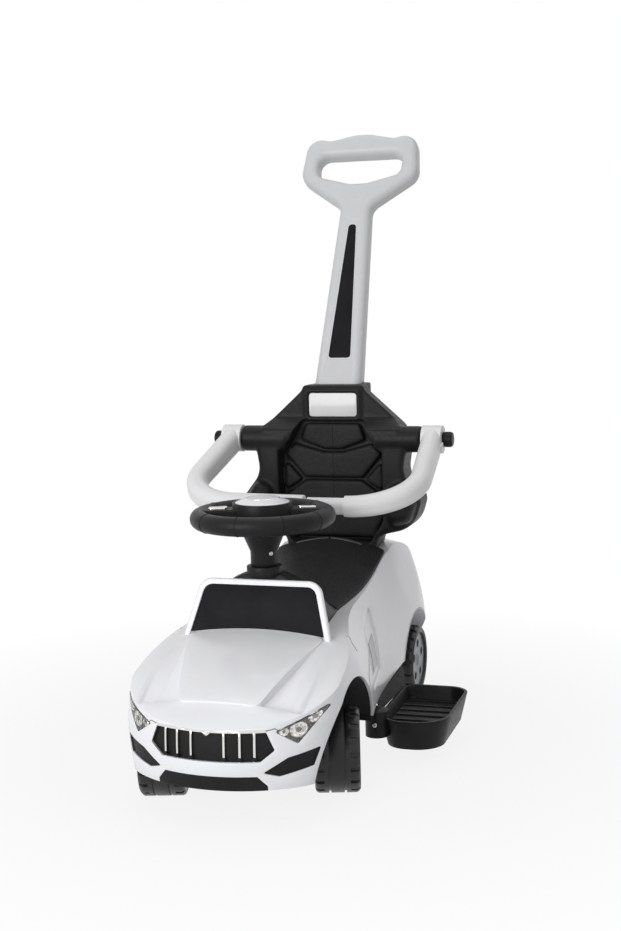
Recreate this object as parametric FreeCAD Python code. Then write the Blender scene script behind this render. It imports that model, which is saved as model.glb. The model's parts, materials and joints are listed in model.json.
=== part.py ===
import FreeCAD
import Part

# A child's ride-on car with a parent's push handle, modelled piece by piece in millimetres.
# The car faces -Y, +X is its left side, +Z is up, and the origin lies on the floor
# under the middle of the car's length.  Each piece is written to its own STEP file.

import math
import os

from FreeCAD import Placement, Rotation, Vector

# Fits shared by all pieces
fit_gap = 0.3
run_gap = 0.05
rub_gap = 0.6
overrun = 6.0

# Overall places along the car
overall_length = 796.0
front_tip_y = -overall_length / 2

# Body shell
body_length = 720.0
body_half_width = 146.0
deck_height = 258.0
body_wall = 4.0
skirt_height = 40.0
skirt_share = 0.97
bumper_clearance = 55.0
sill_height = 80.0
tail_clearance = 70.0
# Each row: station along the body, widest half width, its height, shoulder half width,
# shoulder height, crown height, as shares of body length, body half width and deck height.
body_section_shares = (
    (-0.036, 0.945, 0.330, 0.877, 0.403, 0.436),
    (0.019, 0.955, 0.360, 0.905, 0.473, 0.527),
    (0.100, 0.973, 0.420, 0.932, 0.593, 0.643),
    (0.200, 1.000, 0.465, 0.918, 0.690, 0.748),
    (0.289, 0.983, 0.485, 0.822, 0.760, 0.804),
    (0.400, 0.890, 0.465, 0.671, 0.804, 0.824),
    (0.525, 0.815, 0.450, 0.592, 0.814, 0.832),
    (0.650, 0.781, 0.465, 0.575, 0.860, 0.876),
    (0.761, 0.774, 0.485, 0.589, 0.957, 0.974),
    (0.858, 0.790, 0.496, 0.616, 0.957, 1.000),
    (0.942, 0.767, 0.488, 0.616, 0.870, 0.930),
    (1.011, 0.726, 0.470, 0.580, 0.730, 0.780),
)
nose_radius = 175.0
nose_sweep_deg = 33.0
nose_half_width = 147.0
tail_radius = 260.0
tail_sweep_deg = 20.0
tail_half_width = 118.0
flank_start_share = 0.345
flank_end_share = 0.690
bulge_height = 100.0
bonnet_edge_height = 150.0
nose_tuck = 8.0
bonnet_tuck = 5.0
deck_tuck = 36.0
hood_panel_rise = 2.2
hood_panel_shares = ((0.36, 0.057), (0.62, 0.240), (0.62, 0.270))
hood_panel_corner = 12.0
# The valley between the bonnet's middle and a fender: rear and front ends of its round cutter,
# which passes over both ends by a small rise and dips into the crowned surface between them
valley_shares = ((0.640, 0.262), (0.560, 0.030))
valley_radius = 60.0
valley_rise = 11.5
vent_depth = 2.2
vent_shares = ((0.385, 0.42), (0.455, 0.68), (0.560, 0.76), (0.500, 0.45))
vent_corner = 5.0

# Wheels, axles and arches
tyre_radius = 55.0
tyre_width = 58.0
tyre_shoulder = 6.0
rim_radius = 44.0
hub_radius = 14.0
web_half = 6.0
cap_recess = 12.0
groove_width = 3.0
groove_depth = 2.5
groove_offset = 10.0
notch_count = 18
notch_width = 6.0
notch_depth = 3.0
notch_length = 12.0
axle_radius = 5.0
wheelbase = 482.0
front_axle_setback = 153.0
front_half_track = 112.0
rear_half_track = 84.0
front_arch_radius = 103.0
front_arch_shift = 2.0
rear_arch_radius = 85.0
rear_arch_shift = -15.0
arch_inner_x = 52.0
liner_wall = 3.0
cap_disc = 3.0
cap_dome_radius = 13.0
cap_hole_count = 5
cap_hole_radius = 6.5
cap_hole_ring = 27.0
clip_radius = 8.0
clip_length = 5.0

# Chassis pan
pan_thickness = 8.0
pan_edge_inset = 3.0
pan_front_share = 0.355
pan_rear_share = 0.735
tongue_half_width = 46.0
tongue_overhang = 48.0
pan_rib_height = 14.0
pan_rib_width = 4.0
pan_rib_x = 40.0
hanger_thickness = 14.0
hanger_depth = 26.0
king_boss_radius = 17.0
king_boss_height = 34.0

# Front axle, king pin and steering gear
rest_steer_deg = 16.0
beam_depth = 26.0
beam_height = 20.0
beam_corner = 6.0
king_pin_radius = 8.0
king_cap_radius = 13.0
king_cap_height = 4.0
steer_arm = 30.0
link_pin_radius = 4.0
link_width = 16.0
link_height = 6.0
link_pin_head = 3.0
crank_height = 7.0
crank_half_width = 9.0
column_radius = 6.0
column_setback = 228.0
column_boss_radius = 15.0
column_boss_height = 20.0

# Steering wheel
wheel_height = 350.0
rim_ring_radius = 84.0
rim_tube_radius = 12.5
hub_body_radius = 40.0
hub_body_top = 20.0
hub_body_bottom = 15.0
spoke_width = 30.0
spoke_thickness = 10.0
spoke_rise = 7.0
spoke_corner = 3.0
horn_radius = 36.0
horn_dome = 8.0
horn_seat = 6.0
horn_travel = 2.0
module_radius = 24.0
module_height = 5.0
button_inner = 47.0
button_length = 24.0
button_width = 18.0
button_corner = 4.0
button_height = 4.0
button_proud = 2.0
button_travel = 1.5
sleeve_top_radius = 31.0
sleeve_neck_radius = 18.0
sleeve_neck_share = 0.62
bush_flange_radius = 23.5
bush_flange_height = 12.0
bush_seat = 6.0
bush_stem_radius = 9.0
bush_stem_length = 18.0

# Windscreen frame and its panel
screen_setback = 188.0
screen_lean_deg = 17.0
screen_base_half = 100.0
screen_top_half = 82.0
screen_height = 70.0
screen_root = 16.0
screen_thickness = 8.0
screen_corner = 20.0
screen_edge = 2.5
screen_border = 8.0
screen_panel_depth = 4.0
screen_panel_corner = 14.0

# Nose fittings: outlines in the front view, as shares of body half width and deck height
mouth_shares = ((0.480, 0.492), (0.545, 0.405), (0.430, 0.352))
mouth_corner = 3.0
mouth_backing = 6.0
insert_thickness = 3.0
bar_shares = (0.144, 0.274, 0.390)
bar_width = 2.6
strip_height = 3.2
strip_proud = 1.2
headlight_shares = ((0.541, 0.492), (0.938, 0.588), (0.712, 0.426))
headlight_corner = 2.0
lens_thickness = 1.6
bowl_depth = 2.0
fog_shares = ((0.862, 0.395), (0.812, 0.308), (0.570, 0.277), (0.445, 0.298), (0.640, 0.366))
fog_corner = 1.5
lip_top_shares = (0.405, 0.283)
lip_bottom_shares = (0.480, 0.235)
lip_depth = 12.0
lip_drop = 3.0

# Dash and seat
dash_front_half = 80.0
dash_half_width = 82.0
dash_rear_half = 78.0
dash_front_top = 262.0
dash_top = 279.0
dash_rear_top = 236.0
dash_tail = 70.0
dash_spring = 212.0
dash_skirt = 30.0
seat_front_half = 78.0
seat_rear_half = 84.0
seat_waist_half = 80.0
seat_front_top = 236.0
seat_waist_top = 240.0
seat_rear_top = 268.0
seat_waist_share = 0.45
seat_length = 239.0
seat_front_spring = 214.0
seat_rear_spring = 250.0
seat_waist_spring = 216.0
seat_skirt = 40.0

# Backrest
back_half_width = 140.0
back_bottom = 236.0
back_top = 498.0
back_thickness = 60.0
back_edge = 7.0
# Right half of the outline from the bottom to the top, shares of half width and height
back_outline_shares = (
    (0.500, 0.000), (0.520, 0.130), (0.920, 0.180), (1.015, 0.345), (0.805, 0.490),
    (0.850, 0.640), (0.790, 0.760), (0.365, 0.965), (0.335, 1.000),
)
back_radius_shares = (0.04, 0.12, 0.30, 0.13, 0.25, 0.20, 0.16, 0.08, 0.015)
recess_shares = ((0.44, 0.090), (0.585, 0.220), (0.585, 0.620), (0.455, 0.685), (0.350, 0.800))
recess_depth = 30.0
recess_corner = 8.0
upper_pad_shares = ((0.10, 0.630), (0.360, 0.684), (0.300, 0.775))
middle_pad_shares = ((0.325, 0.462), (0.545, 0.602), (0.440, 0.656), (0.11, 0.608))
lower_pad_shares = ((0.44, 0.110), (0.555, 0.225), (0.555, 0.350), (0.320, 0.442))
side_pad_shares = ((0.555, 0.385), (0.555, 0.560), (0.365, 0.446))
pad_height = 9.0
pad_corner = 4.0
pad_round = 3.0
brow_drop = 66.0
brow_slope = 16.0
brow_depth = 27.0
hip_shares = ((0.66, 0.195), (0.90, 0.225), (0.97, 0.335), (0.80, 0.455), (0.655, 0.400))
hip_reach = 24.0
hip_middle_share = 0.94
hip_tip_share = 0.66
hip_corner = 12.0
boss_axis_height = 417.0
boss_radius = 20.0
boss_end_x = 141.0
boss_axis_inset = 17.4
housing_half_width = 44.0
housing_depth = 34.0
housing_height = 74.0
housing_corner = 10.0
plate_setback = 29.0
plate_half_width = 39.0
plate_height = 38.0
plate_drop = 11.0
plate_corner = 4.0
plate_thickness = 2.0
plate_frame = 5.0
plate_frame_rise = 6.0

# Push handle
handle_lean_deg = 24.6
handle_foot_setback = 9.4
handle_foot_half = 38.5
handle_thickness = 34.0
handle_length = 428.0
handle_edge = 11.0
tang_half_width = 24.0
tang_thickness = 22.0
tang_length = 56.0
# Right halves of the grip and its hole from the throat to the top, shares of the grip's half width and height
grip_half_width = 97.0
grip_height = 107.0
grip_shares = ((0.255, -0.216), (1.011, 0.272), (0.935, 1.000), (0.543, 0.916), (0.130, 1.000))
grip_radii = (22.0, 28.0, 24.0, 20.0, 70.0)
grip_hole_shares = ((0.144, 0.176), (0.700, 0.312), (0.735, 0.644))
grip_hole_radii = (25.0, 14.0, 16.0)
foot_radius = 14.0
panel_shares = ((0.481, 0.081), (0.174, 0.617))
panel_depth = 2.0
panel_corner = 6.0

# Guard arms
arm_inner_x = 143.0
arm_thickness = 30.0
arm_height = 39.0
arm_corner = 13.0
bar_thickness = 28.0
bar_height = 29.0
arm_spread = 16.0
bar_reach = 205.0
bar_drop = 71.0
bend_radius = 85.0
arm_eye_radius = 21.0
seam_x = 18.0
tongue_end_gap = 6.0
tongue_length = 54.0
tongue_height = 24.0
tongue_thickness = 18.0
knob_radius = 11.0
knob_length = 15.0
knob_corner = 3.0
pivot_radius = 7.0
pivot_depth = 34.0
stop_tab_length = 10.0
stop_tab_height = 12.0

# Footrests
tray_inner_x = 128.0
tray_width = 98.0
tray_length = 186.0
tray_front_y = -106.0
tray_top = 61.5
tray_depth = 41.0
tray_draft = 10.0
tray_wall = 4.5
tray_room_depth = 19.0
tray_floor = 4.0
# Corner radii in plan: inner front, outer front, outer back, inner back
tray_corners = (40.0, 48.0, 30.0, 20.0)
tray_rib_count = 7
tray_rib_width = 4.0
tray_rib_height = 2.0
runner_width = 38.0
runner_height = 6.0
runner_length = 44.0
runner_setback = 17.0
runner_boss_radius = 16.0
runner_boss_drop = 36.0
rail_width = 6.0
rail_lip = 2.4
rail_inner_x = 24.0
rail_outer_x = 110.0

# Derived places
front_axle_y = front_tip_y + front_axle_setback
rear_axle_y = front_axle_y + wheelbase
column_y = front_tip_y + column_setback
screen_y = front_tip_y + screen_setback
nose_centre_y = front_tip_y + nose_radius
tail_y = front_tip_y + body_length
tail_centre_y = tail_y - tail_radius
pan_bottom = sill_height - pan_thickness
dash_rear_y = column_y + dash_tail
seat_front_y = dash_rear_y + fit_gap
seat_rear_y = seat_front_y + seat_length
back_front_y = seat_rear_y + fit_gap
back_rear_y = back_front_y + back_thickness
boss_axis_y = back_front_y + boss_axis_inset
handle_foot_y = back_rear_y + handle_foot_setback
axle_height = tyre_radius
beam_top = axle_height + beam_height / 2
beam_bottom = axle_height - beam_height / 2
king_boss_bottom = beam_top + rub_gap
king_boss_top = king_boss_bottom + king_boss_height
king_cap_low = king_boss_top + rub_gap
king_pin_top = king_cap_low + king_cap_height
link_top = beam_bottom - rub_gap
link_bottom = link_top - link_height
crank_bottom = link_top + rub_gap
crank_top = crank_bottom + crank_height
hanger_outer_x = rear_half_track - tyre_width / 2 - rub_gap
rear_tongue_y = rear_axle_y + tongue_overhang
beam_half = front_half_track - tyre_width / 2 - rub_gap
hub_face = tyre_width / 2 - cap_recess
wheel_bottom = wheel_height - hub_body_bottom
wheel_top = wheel_height + hub_body_top
spoke_top = wheel_height + spoke_rise + spoke_thickness / 2
horn_floor = wheel_top - horn_seat - horn_travel - rub_gap
module_low = horn_floor - module_height
bush_low = dash_top - bush_seat
bush_top = bush_low + bush_flange_height
arm_outer_x = arm_inner_x + arm_thickness
runner_y = tray_front_y + runner_setback
rail_bottom = tray_top + rub_gap
runner_top = pan_bottom - fit_gap
runner_bottom = runner_top - runner_height

X_AXIS = Vector(1, 0, 0)
Y_AXIS = Vector(0, 1, 0)
Z_AXIS = Vector(0, 0, 1)
ORIGIN = Vector(0, 0, 0)


# Small shape helpers

def box(x_from, x_to, y_from, y_to, z_from, z_to):
    """A box between two corners."""
    corner = Vector(x_from, y_from, z_from)
    return Part.makeBox(x_to - x_from, y_to - y_from, z_to - z_from, corner)


def rod_x(radius, x_from, x_to, y, z):
    """A round bar along X."""
    return Part.makeCylinder(radius, x_to - x_from, Vector(x_from, y, z), X_AXIS)


def rod_z(radius, x, y, z_from, z_to):
    """A round bar along Z."""
    return Part.makeCylinder(radius, z_to - z_from, Vector(x, y, z_from), Z_AXIS)


def mirrored(shape):
    """The same shape on the car's other side."""
    return shape.mirror(ORIGIN, X_AXIS)


def fused(shapes):
    """One solid out of several that touch."""
    first = shapes[0]
    return first.fuse(shapes[1:]).removeSplitter()


def on_front(y):
    """Places outline points in a plane across the car."""
    return lambda u, v: Vector(u, y, v)


def on_side(x):
    """Places outline points in a plane along the car."""
    return lambda u, v: Vector(x, u, v)


def on_floor(z):
    """Places outline points in a level plane."""
    return lambda u, v: Vector(u, v, z)


def rounded_outline(corners, radii, place):
    """A closed wire through the corners, each rounded by its own radius."""
    arcs = []
    count = len(corners)
    for index in range(count):
        here = Vector(corners[index][0], corners[index][1], 0)
        before = Vector(corners[index - 1][0], corners[index - 1][1], 0)
        after = Vector(corners[(index + 1) % count][0], corners[(index + 1) % count][1], 0)
        to_before = (before - here).normalize()
        to_after = (after - here).normalize()
        half_angle = to_before.getAngle(to_after) / 2
        reach = radii[index] / math.tan(half_angle)
        bisector = (to_before + to_after).normalize()
        middle = here + bisector * (radii[index] / math.sin(half_angle) - radii[index])
        arcs.append((here + to_before * reach, middle, here + to_after * reach))
    edges = []
    for index in range(count):
        start, middle, end = (place(point.x, point.y) for point in arcs[index])
        edges.append(Part.Arc(start, middle, end).toShape())
        following = arcs[(index + 1) % count][0]
        edges.append(Part.LineSegment(end, place(following.x, following.y)).toShape())
    return Part.Wire(edges)


def even_outline(corners, radius, place):
    """A closed wire with one radius at every corner."""
    return rounded_outline(corners, [radius] * len(corners), place)


def scaled(shares, width, height, base=0.0):
    """Outline points out of shares of a width and a height."""
    return [(u * width, base + v * height) for u, v in shares]


def both_halves(right_half):
    """A left-right outline out of its right half, listed from the bottom up."""
    left_half = [(-u, v) for u, v in reversed(right_half)]
    return list(right_half) + left_half


def prism(wire, direction):
    """A closed outline pushed along a direction."""
    return Part.Face(wire).extrude(direction)


def rectangle(u_from, u_to, v_from, v_to):
    """The four corners of a rectangle."""
    return [(u_from, v_from), (u_to, v_from), (u_to, v_to), (u_from, v_to)]


def level_edges(shape):
    """The edges of a shape that lie level."""
    return [edge for edge in shape.Edges if edge.BoundBox.ZLength < fit_gap]


def top_at(solid, x, y):
    """The highest point of a solid over a place on the floor."""
    line = Part.LineSegment(Vector(x, y, 0), Vector(x, y, deck_height + overrun)).toShape()
    return Vector(x, y, line.common(solid).BoundBox.ZMax)


def station(share):
    """A place along the body as a share of its length."""
    return front_tip_y + share * body_length


# Body hull: a tunnel of cross sections, rounded off in plan at nose and tail

def body_section(row, inset):
    """One cross section of the body, drawn in by an inset."""
    y = station(row[0])
    wide = row[1] * body_half_width - inset
    wide_z = row[2] * deck_height
    shoulder = row[3] * body_half_width - inset
    shoulder_z = row[4] * deck_height - inset
    crown_z = row[5] * deck_height - inset
    skirt = wide * skirt_share
    low_right = Vector(skirt, y, skirt_height)
    low_left = Vector(-skirt, y, skirt_height)
    top_right = Vector(shoulder, y, shoulder_z)
    top_left = Vector(-shoulder, y, shoulder_z)
    edges = [
        Part.LineSegment(low_left, low_right).toShape(),
        Part.Arc(low_right, Vector(wide, y, wide_z), top_right).toShape(),
        Part.Arc(top_right, Vector(0, y, crown_z), top_left).toShape(),
        Part.Arc(top_left, Vector(-wide, y, wide_z), low_left).toShape(),
    ]
    return Part.Wire(edges)


def body_tunnel(inset):
    """The long run of body cross sections."""
    return Part.makeLoft([body_section(row, inset) for row in body_section_shares], True, False)


def end_corner(radius, sweep_deg, half_width, centre_y, facing):
    """Tangent points of the arc that joins a rounded end to a straight flank."""
    sine = math.sin(math.radians(sweep_deg))
    cosine = math.cos(math.radians(sweep_deg))
    corner = (half_width - radius * sine) / (1 - sine)
    inner = radius - corner
    middle_deg = (sweep_deg + math.degrees(math.pi / 2)) / 2
    centre = Vector(inner * sine, centre_y + facing * inner * cosine, 0)
    middle = centre + Vector(math.sin(math.radians(middle_deg)),
                             facing * math.cos(math.radians(middle_deg)), 0) * corner
    start = Vector(radius * sine, centre_y + facing * radius * cosine, 0)
    end = centre + X_AXIS * corner
    return start, middle, end


def plan_outline(inset, z):
    """The body seen from above: rounded nose, waisted flanks, rounded tail."""
    lift = Vector(0, 0, z)
    nose = end_corner(nose_radius - inset, nose_sweep_deg, nose_half_width - inset, nose_centre_y, -1)
    tail = end_corner(tail_radius - inset, tail_sweep_deg, tail_half_width - inset, tail_centre_y, 1)
    flank_start = Vector(nose_half_width - inset, station(flank_start_share), 0)
    flank_end = Vector(tail_half_width - inset, station(flank_end_share), 0)

    def left(point):
        return Vector(-point.x, point.y, point.z)

    nose_tip = Vector(0, nose_centre_y - nose_radius + inset, 0)
    tail_tip = Vector(0, tail_centre_y + tail_radius - inset, 0)
    runs = [
        (left(nose[0]), nose_tip, nose[0]),
        nose,
        (nose[2], flank_start),
        (flank_start, flank_end),
        (flank_end, tail[2]),
        (tail[2], tail[1], tail[0]),
        (tail[0], tail_tip, left(tail[0])),
        (left(tail[0]), left(tail[1]), left(tail[2])),
        (left(tail[2]), left(flank_end)),
        (left(flank_end), left(flank_start)),
        (left(flank_start), left(nose[2])),
        (left(nose[2]), left(nose[1]), left(nose[0])),
    ]
    edges = []
    for run in runs:
        points = [point + lift for point in run]
        curve = Part.Arc(*points) if len(points) > 2 else Part.LineSegment(*points)
        edges.append(curve.toShape())
    return Part.Wire(edges)


def plan_block(inset):
    """The plan outline carried up, bulging at bumper height."""
    levels = (
        (skirt_height - overrun, nose_tuck),
        (bulge_height, 0),
        (bonnet_edge_height, bonnet_tuck),
        (deck_height + overrun, deck_tuck),
    )
    return Part.makeLoft([plan_outline(inset + tuck, z) for z, tuck in levels], True, False)


def hull(inset):
    """The whole body as a solid, drawn in by an inset."""
    return body_tunnel(inset).common(plan_block(inset))


def below_body():
    """What lies under the lower edges of bumper, sill and tail."""
    reach = body_half_width + overrun
    low = skirt_height - overrun
    front_centre = front_axle_y + front_arch_shift
    rear_centre = rear_axle_y + rear_arch_shift
    front = box(-reach, reach, front_tip_y - overrun, front_centre, low, bumper_clearance)
    middle = box(-reach, reach, front_centre, rear_centre, low, sill_height)
    back = box(-reach, reach, rear_centre, tail_y + overrun, low, tail_clearance)
    half = hanger_outer_x + fit_gap
    tongue_room = box(-half, half, rear_centre, rear_tongue_y + fit_gap, low, sill_height)
    return [front, middle, back, tongue_room]


def rear_well(radius, inner_x):
    """The room round a rear wheel, on both sides."""
    outer_x = body_half_width + overrun
    y = rear_axle_y + rear_arch_shift
    right = rod_x(radius, inner_x, outer_x, y, axle_height)
    return [right, mirrored(right)]


def front_prism(shares, corner):
    """A nose opening drawn in the front view and pushed through the nose, right side."""
    corners = scaled(shares, body_half_width, deck_height)
    outline = even_outline(corners, corner, on_front(front_tip_y - overrun))
    return prism(outline, Y_AXIS * (nose_radius - overrun))


def mouth_prism(growth):
    """The grille mouth pushed through the nose, grown all round."""
    half = scaled(mouth_shares, body_half_width, deck_height)
    (top_x, top_z), (wide_x, wide_z), (low_x, low_z) = half
    right = [(low_x + growth, low_z - growth), (wide_x + growth, wide_z), (top_x + growth, top_z + growth)]
    outline = even_outline(both_halves(right), mouth_corner, on_front(front_tip_y - overrun))
    return prism(outline, Y_AXIS * (nose_radius / 2))


def lip_prism(shrink):
    """The notch for the front lip, shrunk all round."""
    top_x = lip_top_shares[0] * body_half_width - shrink
    top_z = lip_top_shares[1] * deck_height - shrink
    low_x = lip_bottom_shares[0] * body_half_width - shrink
    low_z = lip_bottom_shares[1] * deck_height
    corners = [(low_x, low_z - overrun), (low_x, low_z), (top_x, top_z)]
    outline = Part.makePolygon([Vector(u, front_tip_y - overrun, v) for u, v in both_halves(corners)] +
                               [Vector(low_x, front_tip_y - overrun, low_z - overrun)])
    return prism(outline, Y_AXIS * (nose_radius / 2))


def screen_place():
    """The leaning plane of the windscreen: local x across, y up, z to the front."""
    turn = Rotation(X_AXIS, math.degrees(math.pi / 2) - screen_lean_deg)
    base_z = body_crown_at_screen()
    return Placement(Vector(0, screen_y, base_z), turn)


def body_crown_at_screen():
    """Height of the bonnet crown where the windscreen stands."""
    share = (screen_y - front_tip_y) / body_length
    rows = body_section_shares
    for before, after in zip(rows, rows[1:]):
        if before[0] <= share <= after[0]:
            blend = (share - before[0]) / (after[0] - before[0])
            return (before[5] + blend * (after[5] - before[5])) * deck_height
    return deck_height


def screen_outline(border, corner, z):
    """The windscreen outline in its own plane, drawn in by a border."""
    lean_in = (screen_base_half - screen_top_half) / screen_height
    top = screen_height - border
    low = -screen_root
    corners = [
        (screen_base_half - border - lean_in * low, low),
        (screen_base_half - border - lean_in * top, top),
    ]
    low_radius = corner / 2
    points = both_halves(corners)
    return rounded_outline(points, [low_radius, corner, corner, low_radius], on_floor(z))


def windscreen_frame():
    """The white frame that stands on the bonnet."""
    frame = prism(screen_outline(0, screen_corner, -screen_thickness), Z_AXIS * screen_thickness)
    frame = frame.makeFillet(screen_edge, level_edges(frame))
    pocket = prism(screen_outline(screen_border, screen_panel_corner, -screen_panel_depth), Z_AXIS * overrun)
    frame = frame.cut(pocket)
    frame.Placement = screen_place()
    return frame


def windscreen_panel():
    """The black panel in the windscreen frame, down to the bonnet."""
    panel = prism(screen_outline(screen_border + fit_gap, screen_panel_corner, -screen_panel_depth),
                  Z_AXIS * (screen_panel_depth / 2))
    panel.Placement = screen_place()
    return panel.cut(body_tunnel(-hood_panel_rise - fit_gap))


def hood_panel():
    """The raised middle of the bonnet, as a solid to fuse on the hull."""
    raised = body_tunnel(-hood_panel_rise)
    points = [(u * body_half_width, station(v)) for u, v in hood_panel_shares]
    outline = even_outline(both_halves(points), hood_panel_corner, on_floor(skirt_height))
    return raised.common(prism(outline, Z_AXIS * deck_height))


def side_vent():
    """The shallow three-cornered recess behind a front wheel, as a cutter."""
    corners = [(station(u), v * deck_height) for u, v in vent_shares]
    outline = even_outline(corners, vent_corner, on_side(0))
    block = prism(outline, X_AXIS * (body_half_width + overrun))
    return block.cut(hull(vent_depth))


def fender_valley(outer, growth):
    """The shallow valley beside the bonnet's middle, as a round cutter grown all round."""
    rear, front = (top_at(outer, u * body_half_width, station(v)) for u, v in valley_shares)
    along = front - rear
    lift = Z_AXIS * (valley_radius + valley_rise)
    return Part.makeCylinder(valley_radius + growth, along.Length, rear + lift, along)


def body_shell(outer, inner, hood):
    """The white body: a hollow hull with arches, wells, nose openings and windscreen frame."""
    valley, valley_wall = fender_valley(outer, 0), fender_valley(outer, body_wall)
    solid = outer.cut([valley, mirrored(valley)]).fuse([hood, windscreen_frame()])
    hollow = inner.cut(rear_well(rear_arch_radius + body_wall, arch_inner_x - body_wall))
    hollow = hollow.cut([valley_wall, mirrored(valley_wall)])
    vent = side_vent()
    front_arch = rod_x(front_arch_radius, -body_half_width - overrun, body_half_width + overrun,
                       front_axle_y + front_arch_shift, axle_height)
    cuts = [hollow, front_arch, vent, mirrored(vent), mouth_prism(0), lip_prism(0)]
    cuts += rear_well(rear_arch_radius, arch_inner_x)
    cuts += below_body()
    for shares, corner in ((headlight_shares, headlight_corner), (fog_shares, fog_corner)):
        opening = front_prism(shares, corner)
        cuts += [opening, mirrored(opening)]
    cuts.append(rod_z(bush_stem_radius + fit_gap, 0, column_y, sill_height, dash_spring + dash_skirt / 2))
    for cutter in cuts:
        solid = solid.cut(cutter)
    return solid.removeSplitter()


# Nose fittings

def grille_insert(inner):
    """The black backing of the grille mouth, held behind the nose wall."""
    return mouth_prism(mouth_backing).common(inner).cut(plan_block(body_wall + insert_thickness))


def grille_bars(outer):
    """The upright bars in the mouth, three on each side of the middle."""
    (top_z, low_z) = (mouth_shares[0][1] * deck_height, mouth_shares[2][1] * deck_height)
    layer = outer.cut(plan_block(body_wall))
    bars = []
    for share in bar_shares:
        x = share * body_half_width
        slot = box(x - bar_width / 2, x + bar_width / 2, front_tip_y - overrun, nose_centre_y, low_z, top_z)
        bar = slot.common(layer)
        bars += [bar, mirrored(bar)]
    return Part.makeCompound(bars)


def grille_strip():
    """The bright strip along the top of the mouth, proud of the nose."""
    half = mouth_shares[0][0] * body_half_width
    low_z = mouth_shares[0][1] * deck_height
    band = box(-half, half, front_tip_y - overrun, nose_centre_y, low_z, low_z + strip_height)
    return band.common(plan_block(-strip_proud)).common(body_tunnel(0)).cut(plan_block(0))


def headlight_lens(outer):
    """The clear cover of the left headlight, flush with the nose."""
    return front_prism(headlight_shares, headlight_corner).common(outer).cut(plan_block(lens_thickness))


def headlight_bowl(outer):
    """The bright bowl behind the left headlight's cover."""
    room = front_prism(headlight_shares, headlight_corner).common(outer).common(plan_block(lens_thickness))
    return room.cut(plan_block(lens_thickness + bowl_depth))


def fog_intake(outer):
    """The black blind intake low on the left of the nose."""
    room = front_prism(fog_shares, fog_corner).common(outer).common(plan_block(body_wall / 2))
    return room.cut(plan_block(body_wall))


def front_lip(outer):
    """The black lip in the notch under the bumper."""
    lip = lip_prism(fit_gap).common(outer).cut(plan_block(lip_depth))
    low = bumper_clearance - lip_drop
    return lip.cut(box(-nose_radius, nose_radius, front_tip_y - overrun, nose_centre_y, 0, low))


def arch_liner():
    """The black liner over the left front wheel."""
    inside = front_arch_radius + fit_gap
    outside = inside + liner_wall
    y = front_axle_y + front_arch_shift
    reach = body_half_width + overrun
    band = rod_x(outside, arch_inner_x - liner_wall, reach, y, axle_height)
    band = band.cut(rod_x(inside, arch_inner_x, reach, y, axle_height))
    low = box(0, reach, y - outside - overrun, y + outside + overrun, 0, sill_height + fit_gap)
    return band.common(hull(body_wall + fit_gap)).cut(low)


# Chassis

def chassis_pan():
    """The flat black floor with its tongues, bearing bosses, hangers and footrest rails."""
    low, high = pan_bottom, sill_height
    reach = body_half_width + overrun
    front_y, rear_y = station(pan_front_share), station(pan_rear_share)
    tongue_y = front_axle_y - tongue_overhang
    floor = body_tunnel(pan_edge_inset).common(box(-reach, reach, front_y, rear_y, low, high))
    front = box(-tongue_half_width, tongue_half_width, tongue_y, front_y + overrun, low, high)
    rear = box(-hanger_outer_x, hanger_outer_x, rear_y - overrun, rear_tongue_y, low, high)
    pieces = [floor, front, rear]
    pieces.append(rod_z(king_boss_radius, 0, front_axle_y, king_boss_bottom, king_boss_top))
    pieces.append(rod_z(column_boss_radius, 0, column_y, low, low + column_boss_height))
    for side in (-1, 1):
        rib_x = side * pan_rib_x
        pieces.append(box(rib_x - pan_rib_width / 2, rib_x + pan_rib_width / 2, tongue_y, rear_tongue_y,
                          high - pan_thickness / 2, high + pan_rib_height))
        hanger = box(hanger_outer_x - hanger_thickness, hanger_outer_x, rear_axle_y - hanger_depth / 2,
                     rear_axle_y + hanger_depth / 2, axle_height - hanger_depth / 2, high)
        fittings = [hanger, *rail_pair()]
        pieces += fittings if side > 0 else [mirrored(shape) for shape in fittings]
    pan = fused(pieces)
    bores = [
        rod_z(king_pin_radius + run_gap, 0, front_axle_y, 0, deck_height),
        rod_z(column_radius + run_gap, 0, column_y, 0, deck_height),
        rod_x(axle_radius + run_gap, -reach, reach, rear_axle_y, axle_height),
    ]
    return pan.cut(bores)


def rail_pair():
    """The two guide rails of the left footrest, hooked under its runner."""
    rails = []
    for side in (-1, 1):
        inner_y = runner_y + side * (runner_width / 2 + fit_gap)
        outer_y = inner_y + side * rail_width
        lip_y = inner_y - side * (rail_lip + fit_gap)
        low_y, high_y = min(inner_y, outer_y), max(inner_y, outer_y)
        rail = box(rail_inner_x, rail_outer_x, low_y, high_y, rail_bottom, pan_bottom + pan_thickness / 2)
        low_y, high_y = min(lip_y, outer_y), max(lip_y, outer_y)
        lip = box(rail_inner_x, rail_outer_x, low_y, high_y, rail_bottom, runner_bottom - fit_gap)
        rails.append(rail.fuse(lip))
    return rails


# Wheels

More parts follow.
